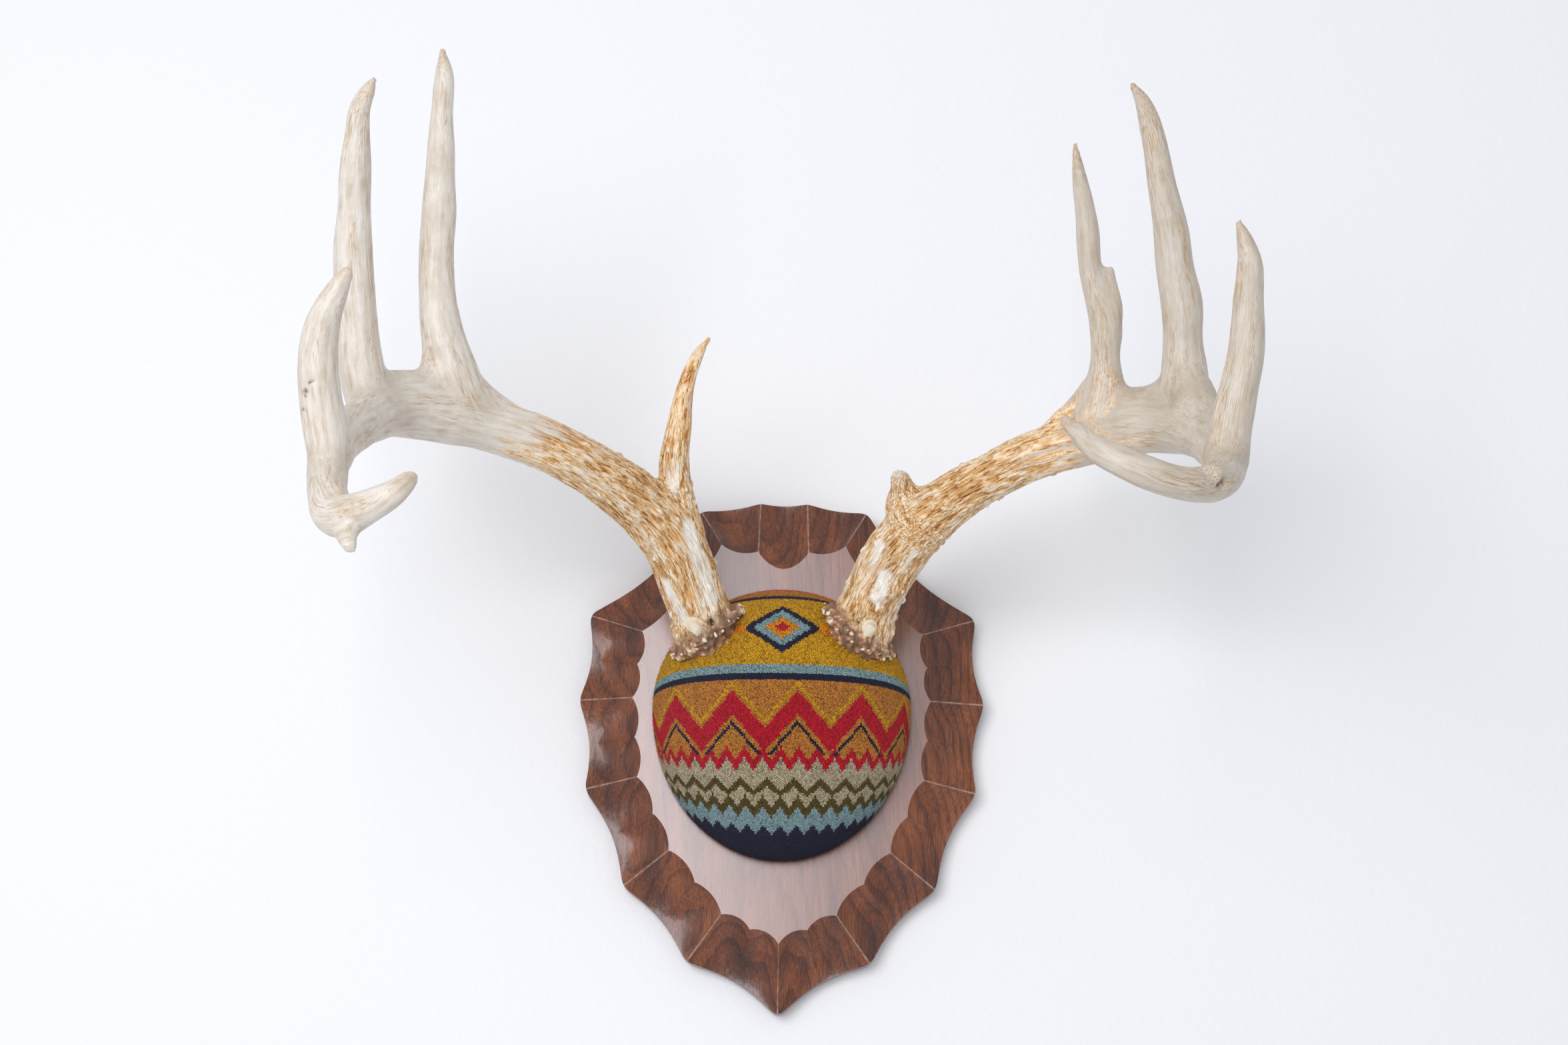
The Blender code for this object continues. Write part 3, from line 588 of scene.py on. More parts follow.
def reliefTree():
    # wandering lengthwise ridges and scattered pearls on the rough part, faint ripples elsewhere
    tree, given = geometryTree("antlerRelief", {**reliefSizes, "Finish": boneFinish})
    kinds = {"beamFlow": "FLOAT_VECTOR", "tineFlow": "FLOAT_VECTOR", "tineShare": "FLOAT",
             "ridged": "FLOAT", "burr": "FLOAT"}
    named = {name: addNode(tree, "GeometryNodeInputNamedAttribute", {"Name": name}, data_type=kind)
             for name, kind in kinds.items()}
    wandering = []
    for name in ("beamFlow", "tineFlow"):
        slow = addNode(tree, "ShaderNodeVectorMath",
                       {0: named[name], 1: antlerSizes["swaySize"]}, operation="DIVIDE")
        drift = addNode(tree, "ShaderNodeTexNoise", {"Vector": slow, "Scale": 1.0, "Detail": 1.0})
        centred = addNode(tree, "ShaderNodeVectorMath",
                          {0: drift.outputs["Color"], 1: (0.5, 0.5, 0.5)}, operation="SUBTRACT")
        swayed = addNode(tree, "ShaderNodeVectorMath",
                         {0: centred, 1: antlerSizes["sway"], 2: named[name]},
                         operation="MULTIPLY_ADD")
        wandering.append(swayed)
    flows = (*wandering, named["tineShare"])
    ridgeSize = addNode(tree, "ShaderNodeCombineXYZ",
                        {0: given.outputs["Ridge Length"], 1: given.outputs["Ridge Spacing"],
                         2: given.outputs["Ridge Spacing"]})
    folds = limbNoise(tree, flows, ridgeSize, 2.0)
    offMiddle = addNode(tree, "ShaderNodeMath", {0: folds, 1: 0.5}, operation="SUBTRACT")
    distance = addNode(tree, "ShaderNodeMath", {0: offMiddle}, operation="ABSOLUTE")
    crest = addNode(tree, "ShaderNodeMapRange",
                    {0: distance, 1: 0.0, 2: 0.13, 3: 1.0, 4: 0.0},
                    interpolation_type="SMOOTHSTEP")
    ripple = limbNoise(tree, flows, antlerSizes["rippleSize"], 1.0, 5.0)

    pearls = []
    for flow in flows[:2]:
        squeezed = addNode(tree, "ShaderNodeVectorMath",
                           {0: flow, 1: antlerSizes["pearlStretch"]}, operation="MULTIPLY")
        spread = addNode(tree, "ShaderNodeVectorMath",
                         {0: squeezed, 1: given.outputs["Pearl Spacing"]}, operation="DIVIDE")
        cells = addNode(tree, "ShaderNodeTexVoronoi", {"Vector": spread, "Scale": 1.0})
        dome = addNode(tree, "ShaderNodeMapRange",
                       {0: cells.outputs["Distance"], 1: 0.10, 2: 0.30, 3: 1.0, 4: 0.0},
                       interpolation_type="SMOOTHSTEP")
        chance = addNode(tree, "FunctionNodeSeparateColor", {0: cells.outputs["Color"]})
        kept = addNode(tree, "ShaderNodeMath", {0: chance, 1: 0.5}, operation="GREATER_THAN")
        shown = addNode(tree, "ShaderNodeMath", {0: dome, 1: kept}, operation="MULTIPLY")
        pearls.append(shown)
    pearl = addNode(tree, "ShaderNodeMix",
                    {0: named["tineShare"], 2: pearls[0], 3: pearls[1]}, data_type="FLOAT")

    sunk = addNode(tree, "ShaderNodeMath", {0: crest, 1: 0.5}, operation="SUBTRACT")
    ridges = addNode(tree, "ShaderNodeMath",
                     {0: sunk, 1: given.outputs["Ridge Height"]}, operation="MULTIPLY")
    raised = addNode(tree, "ShaderNodeMath", {0: pearl, 1: given.outputs["Pearl Height"],
                                              2: ridges}, operation="MULTIPLY_ADD")
    roughPart = addNode(tree, "ShaderNodeMath",
                        {0: raised, 1: named["ridged"]}, operation="MULTIPLY")
    level = addNode(tree, "ShaderNodeMath", {0: ripple, 1: 0.5}, operation="SUBTRACT")
    ripples = addNode(tree, "ShaderNodeMath",
                      {0: level, 1: given.outputs["Ripple Height"], 2: roughPart},
                      operation="MULTIPLY_ADD")
    where = addNode(tree, "GeometryNodeInputPosition")
    nodules = addNode(tree, "ShaderNodeTexVoronoi",
                      {"Vector": where, "Scale": antlerSizes["nodulesPerMetre"],
                       "Smoothness": 0.6}, feature="SMOOTH_F1")
    nodule = addNode(tree, "ShaderNodeMapRange",
                     {0: nodules.outputs["Distance"], 1: 0.05, 2: 0.65, 3: 1.0, 4: 0.0},
                     interpolation_type="SMOOTHSTEP")
    grain = addNode(tree, "ShaderNodeMath", {0: nodule, 1: 0.6}, operation="SUBTRACT")
    onBurr = addNode(tree, "ShaderNodeMath",
                     {0: named["burr"], 1: given.outputs["Burr Grain"]}, operation="MULTIPLY")
    burred = addNode(tree, "ShaderNodeMath",
                     {0: grain, 1: onBurr, 2: ripples}, operation="MULTIPLY_ADD")
    height = addNode(tree, "ShaderNodeMath", {0: burred, 1: mm}, operation="MULTIPLY")
    normal = addNode(tree, "GeometryNodeInputNormal")
    offset = addNode(tree, "ShaderNodeVectorMath", {0: normal, "Scale": height}, operation="SCALE")
    flowing = given.outputs["Geometry"]
    for name, value in (("crest", crest), ("pearl", pearl), ("nodule", nodule)):
        flowing = addNode(tree, "GeometryNodeStoreNamedAttribute",
                          {"Geometry": flowing, "Name": name, "Value": value}, data_type="FLOAT")
    moved = addNode(tree, "GeometryNodeSetPosition", {"Geometry": flowing, "Offset": offset})
    coated = addNode(tree, "GeometryNodeSetMaterial",
                     {"Geometry": moved, "Material": given.outputs["Finish"]})
    addNode(tree, "NodeGroupOutput", {0: coated})
    return tree


def edgesOf(mesh):
    ends = np.empty(len(mesh.edges) * 2, np.int32)
    mesh.edges.foreach_get("vertices", ends)
    return ends.reshape(-1, 2)


def neighbourMean(ends, values):
    # for each point, the mean of the values at the other ends of its edges
    count = len(values)
    links = np.bincount(ends.ravel(), minlength=count)
    total = np.empty_like(values)
    for axis in range(values.shape[1]):
        total[:, axis] = (np.bincount(ends[:, 0], values[ends[:, 1], axis], count)
                          + np.bincount(ends[:, 1], values[ends[:, 0], axis], count))
    return total / links[:, None]


def fillForks(mesh, stillness):
    # draws only the hollows outwards, so that a fork gets a fillet and a limb keeps its girth
    points = pointsOf(mesh)
    count = len(points)
    ends = edgesOf(mesh)
    corners = np.empty(len(mesh.loops), np.int32)
    mesh.loops.foreach_get("vertex_index", corners)
    quads = corners.reshape(-1, 4)
    for _ in range(antlerSizes["fillRounds"]):
        faces = np.cross(points[quads[:, 2]] - points[quads[:, 0]],
                         points[quads[:, 3]] - points[quads[:, 1]])
        normals = np.stack([sum(np.bincount(quads[:, k], faces[:, axis], count) for k in range(4))
                            for axis in range(3)], 1)
        pull = neighbourMean(ends, points) - points
        outward = (pull * normals).sum(1) > 0
        points += pull * (antlerSizes["fillPull"] * outward * stillness)[:, None]
    for strength in antlerSizes["settling"] * 3:
        points += (neighbourMean(ends, points) - points) * strength
    setPoints(mesh, points)


def growSkin(name, plan, lines, seat):
    # limbs, ribs, burr, beads and lumps made one skin, with the forks filleted
    bm = bmesh.new()
    limbs = tubes(name + "Limbs", lines)
    bm.from_mesh(limbs)
    bpy.data.meshes.remove(limbs)
    bm.from_mesh(beadRing(seat, plan["burr"]["seed"], antlerSizes["beads"],
                          antlerSizes["burrRadius"], antlerSizes["beadSize"], 1.0))
    for span, reach, rise, size in plan["lumps"]:
        lump = bmesh.ops.create_icosphere(bm, subdivisions=3, radius=size * mm)
        bmesh.ops.translate(bm, verts=lump["verts"], vec=place(span, reach, rise))
    whole = bpy.data.meshes.new(name)
    bm.to_mesh(whole)
    bm.free()

    piece = addPiece(name, whole)
    remesh = piece.modifiers.new("one skin", "REMESH")
    remesh.mode = "VOXEL"
    remesh.voxel_size = antlerSizes["voxel"] * mm
    skin = plainMesh(piece)
    piece.modifiers.clear()
    piece.data = skin
    fromBurr = np.linalg.norm(pointsOf(skin) * 1000 - np.array(seat.translation) * 1000, axis=1)
    fillForks(skin, smoothStep(*antlerSizes["fillBeyond"], fromBurr))
    return piece


def refineSkin(skin, plan, beam, seat):
    # finer faces where the surface is rough, and the ivory pearls on the burr's rim; gives
    # how many points come before the pearls
    points = pointsOf(skin) * 1000
    flow, _ = limbFlow(points, beam)
    reach = plan["roughUntil"] + antlerSizes["fineBeyond"]
    fromStart = np.linalg.norm(points - beam[0][0, :3], axis=1)
    near = (flow[:, 0] < reach) & (fromStart < reach)
    bm = bmesh.new()
    bm.from_mesh(skin)
    bm.verts.ensure_lookup_table()
    edges = [edge for edge in bm.edges if near[edge.verts[0].index] and near[edge.verts[1].index]]
    bmesh.ops.subdivide_edges(bm, edges=edges, cuts=1, use_grid_fill=True, smooth=0.0)
    bmesh.ops.triangulate(bm, faces=[face for face in bm.faces if len(face.verts) > 4])
    skinCount = len(bm.verts)
    bm.from_mesh(beadRing(seat, plan["burr"]["seed"] + 5, antlerSizes["pearls"],
                          antlerSizes["pearlRing"], antlerSizes["pearlSize"], 0.9))
    bm.to_mesh(skin)
    bm.free()
    return skinCount


def swellSkin(skin):
    # gentle lumps, as grown; gives the points in millimetres
    points = pointsOf(skin)
    normals = normalsOf(skin)
    spacing = antlerSizes["gnarlSpacing"] * mm
    lumps = np.array([noise.noise(Vector(point) / spacing) for point in points])
    points += normals * (lumps * antlerSizes["gnarlHeight"] * mm)[:, None]
    setPoints(skin, points)
    return points * 1000


def markFlow(skin, plan, paths, points):
    # stores where each point lies along the beam and along its nearest tine; gives its age,
    # which is how far it is from the burr as the bone grew
    beamFlow, beamRadii = limbFlow(points, paths["beam"])
    tineFlow = np.zeros_like(beamFlow)
    tineRadii = np.full(len(points), 99.0)
    tineAge, tineStain, tineTip = (np.zeros(len(points)) for _ in range(3))
    for order, path in enumerate(list(paths.values())[1:], 1):
        flow, radii = limbFlow(points, path)
        root = limbFlow(path[0][:1, :3], paths["beam"])[0][0, 0]
        closer = radii < tineRadii
        tineRadii[closer] = radii[closer]
        tineFlow[closer] = (flow + (0.0, antlerSizes["tineApart"] * order, 0.0))[closer]
        fromRoot = np.maximum(flow[:, 0], 0)
        tineAge[closer] = (root + fromRoot * antlerSizes["roughAlongTine"])[closer]
        tineStain[closer] = (root + fromRoot * antlerSizes["stainAlongTine"])[closer]
        tineTip[closer] = smoothStep(*antlerSizes["tip"], path[1][-1] - flow[:, 0])[closer]
    age = beamFlow[:, 0].copy()
    tip = smoothStep(*antlerSizes["tip"], paths["beam"][1][-1] - age)
    blend = antlerSizes["joinBlend"]
    share = smoothStep(-blend, blend, beamRadii - tineRadii)
    # where a limb bends sharply the flow would break, so it is evened out
    ends = edgesOf(skin)
    flows = np.column_stack([beamFlow, tineFlow, share])
    for _ in range(antlerSizes["flowRounds"]):
        flows += (neighbourMean(ends, flows) - flows) * 0.6
    share = flows[:, 6]
    stainAge = age * (1 - share) + tineStain * share
    for name, values in (("beamFlow", flows[:, :3]), ("tineFlow", flows[:, 3:6]),
                         ("tineShare", share), ("tip", tip * (1 - share) + tineTip * share),
                         ("stain", smoothStep(plan["palePast"], plan["stainUntil"], stainAge)),
                         ("tan", plan["tan"] + plan["tanAtJoins"] * share * (1 - share))):
        storeValues(skin, name, values)
    return age * (1 - share) + tineAge * share


def wornPatches(plan, points):
    worn = np.zeros(len(points))
    for begin, end, halfWidth in plan["worn"]:
        low, high = (np.array(place(*spot)) * 1000 for spot in (begin, end))
        run = high - low
        along = np.clip((points - low) @ run / (run @ run), 0.0, 1.0)
        apart = np.linalg.norm(points - low - along[:, None] * run, axis=1)
        worn = np.maximum(worn, smoothStep(halfWidth * 1.35, halfWidth * 0.55, apart))
    return worn


def markBurr(skin, plan, points, age, skinCount, pegs, seat):
    # stores what is rough, worn, part of the burr, or ivory: bead tops, pearls and pegs
    axis = np.array(seat.to_3x3().col[2])
    fromCentre = points - np.array(seat.translation) * 1000
    height = fromCentre @ axis
    outward = np.linalg.norm(fromCentre - height[:, None] * axis, axis=1)
    rim = antlerSizes["burrRadius"]
    foot = np.array([noise.noise(Vector(point) / 7) for point in points]) * 5
    burrShare = smoothStep(10.0, 2.5, height + foot) * smoothStep(50.0, 40.0, outward)
    beadTop = smoothStep(rim + 1.3, rim + 2.2, outward) * smoothStep(7.0, 4.0, np.abs(height))
    beadTop *= smoothStep(rim + 9.0, rim + 7.0, outward)
    beadTop[skinCount:] = smoothStep(rim - 1.2, rim + 0.4, outward[skinCount:])
    peg = np.zeros(len(points))
    for path in pegs:
        peg = np.maximum(peg, smoothStep(1.5, 1.2, limbFlow(points, path)[1]))
    beadTop = np.maximum(beadTop, peg)
    worn = wornPatches(plan, points)
    rough = smoothStep(plan["smoothFrom"], plan["roughUntil"], age) * (1 - peg)
    ridged = rough * (1 - np.maximum(worn * 0.25, beadTop)) * (1 - 0.65 * burrShare)
    for name, values in (("rough", rough), ("ridged", ridged), ("worn", worn),
                         ("burr", burrShare * (1 - peg)), ("beadTop", beadTop)):
        storeValues(skin, name, values)


def scarSkin(skin, plan):
    # small ragged dark hollows, each at the surface point nearest its place
    points = pointsOf(skin)
    normals = normalsOf(skin)
    scar = np.zeros(len(points))
    for spot, halfWidth, depth in plan["scars"]:
        nearest = np.linalg.norm(points - np.array(place(*spot)), axis=1).argmin()
        apart = np.linalg.norm(points - points[nearest], axis=1) / mm
        near = apart < 12
        apart[near] += np.array([noise.noise(Vector(point) * 700) for point in points[near]]) * 2.2
        hollow = smoothStep(halfWidth * 1.3, halfWidth * 0.3, apart)
        points -= normals * (hollow * depth * mm)[:, None]
        scar = np.maximum(scar, hollow)
    setPoints(skin, points)
    storeValues(skin, "scar", scar)


def makeAntler(name, plan):
    paths = {limb: limbPath(stations) for limb, stations in plan["limbs"].items()}
    pegs = [limbPath(stations) for stations in plan["pegs"]]
    centre = Vector(plan["burr"]["centre"])
    heading = Vector(plan["burr"]["direction"]).normalized()
    collar = [(*(centre + heading * along * antlerSizes["burrThickness"]),
               2 * width * antlerSizes["burrRadius"])
              for along, width in antlerSizes["burrProfile"]]
    lines = [path[0] for path in paths.values()]
    lines += [limbPath(stations)[0] for stations in (*plan["ribs"], collar)]
    lines += [path[0] for path in pegs]
    turn = place(*heading).normalized().to_track_quat("Z", "Y").to_matrix().to_4x4()
    seat = Matrix.Translation(place(*centre)) @ turn

    piece = growSkin(name, plan, lines, seat)
    skinCount = refineSkin(piece.data, plan, paths["beam"], seat)
    points = swellSkin(piece.data)
    age = markFlow(piece.data, plan, paths, points)
    markBurr(piece.data, plan, points, age, skinCount, pegs, seat)
    applyTree(piece, ridgesTree, {**reliefSizes, "Finish": boneFinish})
    scarSkin(piece.data, plan)
    piece.data.shade_smooth()
    print(name, len(piece.data.vertices), "points")
    return piece


boneFinish = boneMaterial()
beadsTree = beadTree()
ridgesTree = reliefTree()
antlers = {}
for side, plan in (("left", leftAntler), ("right", rightAntler)):
    antlers[side] = makeAntler(side + "Antler", plan)
    nodes = [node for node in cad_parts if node.startswith(side + "_")]
    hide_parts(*nodes)
    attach(antlers[side], "root")
print("antlers grown")


# Shield
shieldSizes = {
    "thickness": 19.5,
    "points": [(13.7, 147.0), (48.0, 142.0), (111.0, 79.0), (115.6, 29.3),
               (110.7, -22.0), (87.6, -76.5), (51.3, -118.0), (0.0, -147.5)],
    "notches": [(14.5, 116.5), (36.0, 120.5), (80.5, 68.5), (85.0, 29.8),
                (81.3, -15.8), (62.4, -57.0), (32.2, -92.4), (0.0, -108.7)],
    "rimAtPoint": 12.5,
    "rimBetween": 9.0,
    "hollow": 0.075,
    "topHollow": 0.02,
    "pointRounding": 1.35,
    "lobeDepth": 3.0,
    "topLobeDepth": 10.4,
    "coveCurl": 0.75,
    "columnsPerLobe": 28,
    "ridgeLineHalfWidth": 0.28,         # half width of the pale line on a ridge: worn wood and a painted highlight
    "pointRadius": 5.0,
    "rows": 26,
    "chamfer": 0.7,
    "toolWander": 0.35,        # how far the gouge strays, in millimetres
    "toolSpacing": 9.0,
    "topAbove": 135.0,         # points higher than this belong to the top's shallow cuts
    "scoop": 0.75,             # below 1 makes a cut rounder than a sine
    "creaseDies": (0.15, 0.6), # where the crease between two lobes starts to fade, and over
                               # how much of the cut
    "rimEase": (0.12, 0.5),    # how far the rim's two corners are eased inwards
    "rimWearAndHighlight": (0.25, 0.35),   # how pale they are painted, where 1 is fully pale: worn wood and a painted highlight on the edge
    "ridgeWearAndHighlight": 0.85,
    "fieldEdgeWearAndHighlight": 0.7,
    "flat": 0.9999,            # faces turned this much to the front or back are shaded flat
}


# Millimetres, across, through and up the board; the grain runs up it
walnutGrain = {
    "pith": (-34.0, 62.0),     # the tree's middle: across the board, and behind its back
    "pithLean": 0.12,          # how far it leans to the left for each millimetre up
    "ringSpacing": 4.6,
    "ringSway": 26.0,
    "swaySize": (38.0, 38.0, 110.0),
    "fibreSize": (0.8, 0.8, 26.0),
    "shadeSize": (16.0, 16.0, 60.0),
    "poreSize": (0.42, 0.42, 5.5),     # real pores are about 0.2 mm wide: drawn coarser
    "pore": "#2a1710",
}

walnutFinishes = {
    "lacqueredWalnut": {
        "colours": [(0.30, "#31150a"), (0.45, "#4f240f"), (0.58, "#6e3719"), (0.74, "#8f5027")],
        "roughness": 0.34,
        "coat": {"Weight": 0.5, "Roughness": 0.14},
        "grainDepth": 0.00022,
        "poreDepth": 0.5,
        # colour of the pale lines on ridges and edges: worn wood and a painted highlight
        "paleWearAndHighlightLine": "#c9ab94",
    },
    "oiledWalnut": {
        "colours": [(0.30, "#532c20"), (0.45, "#6c3d2c"), (0.6, "#824e3a"), (0.78, "#965e49")],
        "roughness": 0.38,
        "coat": {"Weight": 1.0, "Roughness": 0.24, "IOR": 1.85},
        "grainDepth": 0.00010,
        "poreDepth": 0.30,
        "paleWearAndHighlightLine": None,
    },
}


def walnutMaterial(name, look):
    # Black walnut, sawn on the flat: growth rings cut as arches, fine fibre along the height
    # and open pores that read as short dark dashes
    finish, tree, shader = newFinish(name)
    grain = walnutGrain
    where = addNode(tree, "ShaderNodeTexCoord")
    inMm = addNode(tree, "ShaderNodeVectorMath",
                   {0: where.outputs["Object"], "Scale": 1000.0}, operation="SCALE")
    drift = addNode(tree, "ShaderNodeVectorMath",
                    {0: inMm, 1: grain["swaySize"]}, operation="DIVIDE")
    sway = addNode(tree, "ShaderNodeTexNoise",
                   {"Vector": drift, "Scale": 1.0, "Detail": 2.5, "Roughness": 0.45})
    parts = addNode(tree, "ShaderNodeSeparateXYZ", {0: inMm})
    pithAcross, pithBehind = grain["pith"]
    leaning = addNode(tree, "ShaderNodeMath",
                      {0: parts.outputs["Z"], 1: grain["pithLean"], 2: parts.outputs["X"]},
                      operation="MULTIPLY_ADD")
    fromPith = addNode(tree, "ShaderNodeMath", {0: leaning, 1: -pithAcross})
    depth = addNode(tree, "ShaderNodeMath", {0: parts.outputs["Y"], 1: -pithBehind})
    section = addNode(tree, "ShaderNodeCombineXYZ", {0: fromPith, 1: depth})
    radius = addNode(tree, "ShaderNodeVectorMath", {0: section}, operation="LENGTH")
    swayed = addNode(tree, "ShaderNodeMath",
                     {0: sway, 1: grain["ringSway"], 2: radius}, operation="MULTIPLY_ADD")
    rings = addNode(tree, "ShaderNodeMath",
                    {0: swayed, 1: grain["ringSpacing"]}, operation="DIVIDE")
    yearly = addNode(tree, "ShaderNodeMath", {0: rings}, operation="FRACT")
    lateWood = addNode(tree, "ShaderNodeMapRange",
                       {0: yearly, 1: 0.5, 2: 0.93}, interpolation_type="SMOOTHSTEP")
    fallBack = addNode(tree, "ShaderNodeMapRange", {0: yearly, 1: 0.95, 2: 1.0, 3: 1.0, 4: 0.0})
    ringTone = addNode(tree, "ShaderNodeMath", {0: lateWood, 1: fallBack}, operation="MULTIPLY")
    fibre = addNode(tree, "ShaderNodeVectorMath",
                    {0: inMm, 1: grain["fibreSize"]}, operation="DIVIDE")
    fibres = addNode(tree, "ShaderNodeTexNoise",
                     {"Vector": fibre, "Scale": 1.0, "Detail": 3.0, "Roughness": 0.6})
    broadScale = addNode(tree, "ShaderNodeVectorMath",
                         {0: inMm, 1: grain["shadeSize"]}, operation="DIVIDE")
    broad = addNode(tree, "ShaderNodeTexNoise",
                    {"Vector": broadScale, "Scale": 1.0, "Detail": 2.0})
    tone = addNode(tree, "ShaderNodeMath", {0: ringTone, 1: -0.11}, operation="MULTIPLY")
    toneFibre = addNode(tree, "ShaderNodeMath",
                        {0: fibres, 1: 0.55, 2: tone}, operation="MULTIPLY_ADD")
    toneBroad = addNode(tree, "ShaderNodeMath",
                        {0: broad, 1: 0.60, 2: toneFibre}, operation="MULTIPLY_ADD")
    wood = addNode(tree, "ShaderNodeValToRGB", {0: toneBroad}, stops=look["colours"])
    poreScale = addNode(tree, "ShaderNodeVectorMath",
                        {0: inMm, 1: grain["poreSize"]}, operation="DIVIDE")
    pores = addNode(tree, "ShaderNodeTexNoise", {"Vector": poreScale, "Scale": 1.0, "Detail": 1.0})
    poreShare = addNode(tree, "ShaderNodeMapRange",
                        {0: pores, 1: 0.60, 2: 0.70, 3: 0.0, 4: look["poreDepth"]})
    pored = addNode(tree, "ShaderNodeMix",
                    {0: poreShare, 6: wood, 7: linear(grain["pore"])}, data_type="RGBA")
    ripples = addNode(tree, "ShaderNodeTexNoise", {"Vector": inMm, "Scale": 0.32, "Detail": 2.0})
    colour = pored.outputs[2]
    # the pale line on ridges, rim corners and the field's edge mixes worn bare wood with a painted
    # highlight
    if look["paleWearAndHighlightLine"]:
        line = addNode(tree, "ShaderNodeAttribute", attribute_name="paleWearAndHighlightLine")
        broken = addNode(tree, "ShaderNodeMapRange",
                         {0: ripples, 1: 0.35, 2: 0.6, 3: 0.35, 4: 1.0})
        worn = addNode(tree, "ShaderNodeMath",
                       {0: line.outputs["Fac"], 1: broken}, operation="MULTIPLY")
        colour = addNode(tree, "ShaderNodeMix",
                         {0: worn, 6: colour, 7: linear(look["paleWearAndHighlightLine"])},
                         data_type="RGBA").outputs[2]
    tree.links.new(colour, shader.inputs["Base Color"])
    shine = addNode(tree, "ShaderNodeMapRange",
                    {0: fibres, 3: look["roughness"] - 0.06, 4: look["roughness"] + 0.10})
    tree.links.new(shine.outputs[0], shader.inputs["Roughness"])
    for label, amount in look["coat"].items():
        shader.inputs["Coat " + label].default_value = amount
    sunk = addNode(tree, "ShaderNodeMath",
                   {0: poreShare, 1: -0.8, 2: ripples}, operation="MULTIPLY_ADD")
    bump = addNode(tree, "ShaderNodeBump",
                   {"Height": sunk, "Strength": 1.0, "Distance": look["grainDepth"]})
    tree.links.new(bump.outputs[0], shader.inputs["Normal"])
    return finish


def bothSides(half):
    # a half outline with its mirror image, clockwise from the top left point
    right = [Vector(point) for point in half]
    left = [Vector((-x, z)) for x, z in half[:-1]]
    return [left[0]] + right + left[:0:-1]


def carveShield():
    # the border: gouge cuts that meet in sharp ridges, round a flat field
    sizes = shieldSizes
    corners, notches = bothSides(sizes["points"]), bothSides(sizes["notches"])
    count = len(corners)
    ways = [0.5 - 0.5 * math.cos(math.pi * row / sizes["rows"])
            for row in range(sizes["rows"] + 1)]
    outerLine, innerLine, marks = [], [], []
    for index in range(count):
        corner, following = corners[index], corners[(index + 1) % count]
        notch, nextNotch = notches[index], notches[(index + 1) % count]
        atTop = min(corner.y, following.y) > sizes["topAbove"]
        middleTop = atTop and abs(corner.x + following.x) < 1
        lobes = 1 if atTop else 2
        bite = sizes["topLobeDepth"] if middleTop else sizes["lobeDepth"]
        edge, innerEdge = following - corner, nextNotch - notch
        square = Vector((edge.y, -edge.x)).normalized()
        innerSquare = Vector((innerEdge.y, -innerEdge.x)).normalized()
        depth = edge.length * (sizes["topHollow"] if atTop else sizes["hollow"])
        steps = lobes * sizes["columnsPerLobe"]
        for step in range(steps):
            lobe, part = divmod(step / sizes["columnsPerLobe"], 1.0)
            share = (lobe + 0.5 - 0.5 * math.cos(math.pi * part)) / lobes
            bow = 4 * share * (1 - share)
            inLobe = math.sin(math.pi * (share * lobes % 1.0))
            outerLine.append(corner.lerp(following, share)
                             + square * depth * bow ** sizes["pointRounding"])
            innerLine.append(notch.lerp(nextNotch, share)
                             + innerSquare * bite * inLobe ** sizes["scoop"])
            rim = sizes["rimAtPoint"] + (sizes["rimBetween"] - sizes["rimAtPoint"]) * bow
            fromRidge = min(share, 1 - share) * edge.length
            marks.append((rim, inLobe, math.sin(math.pi * share), fromRidge,
                          index * 5.0 + share * lobes))
    # the points are eased, as sanding leaves them
    softened = [spot.copy() for spot in outerLine]
    for corner in corners:
        near = [index for index, spot in enumerate(outerLine)
                if (spot - corner).length < sizes["pointRadius"]]
        ends = sorted(near, key=lambda index: -(outerLine[index] - corner).length)[:2]
        middle = (outerLine[ends[0]] + outerLine[ends[1]]) / 2
        for index in near:
            share = 1 - (outerLine[index] - corner).length / sizes["pointRadius"]
            softened[index] += (middle - corner) * 0.5 * share ** 2
    columns, lines = [], []
    fadeStart, fadeWidth = sizes["creaseDies"]
    for outer, inner, (rim, inLobe, inCut, fromRidge, seed) in zip(softened, innerLine, marks):
        column = []
        for way in ways:
            # the crease between two lobes dies out on its way to the rim
            blend = min(max((way - fadeStart) / fadeWidth, 0.0), 1.0)
            scoop = inCut ** sizes["scoop"] * (1 - blend) + inLobe ** sizes["scoop"] * blend
            lift = way ** (1.0 + sizes["coveCurl"] * scoop)
            spot = outer.lerp(inner, way)
            reach = rim + (sizes["thickness"] - rim) * lift
            stray = noise.noise(Vector((spot.x / sizes["toolSpacing"],
                                        spot.y / sizes["toolSpacing"], seed)))
            hold = math.sin(math.pi * way) * inLobe
            column.append((spot.x, reach + stray * hold * sizes["toolWander"], spot.y))
        columns.append(column)
        # how pale the ridge line is painted here: worn wood and a painted highlight
        lines.append(max(0.0, 1 - fromRidge / (2 * sizes["ridgeLineHalfWidth"])))
    return columns, lines


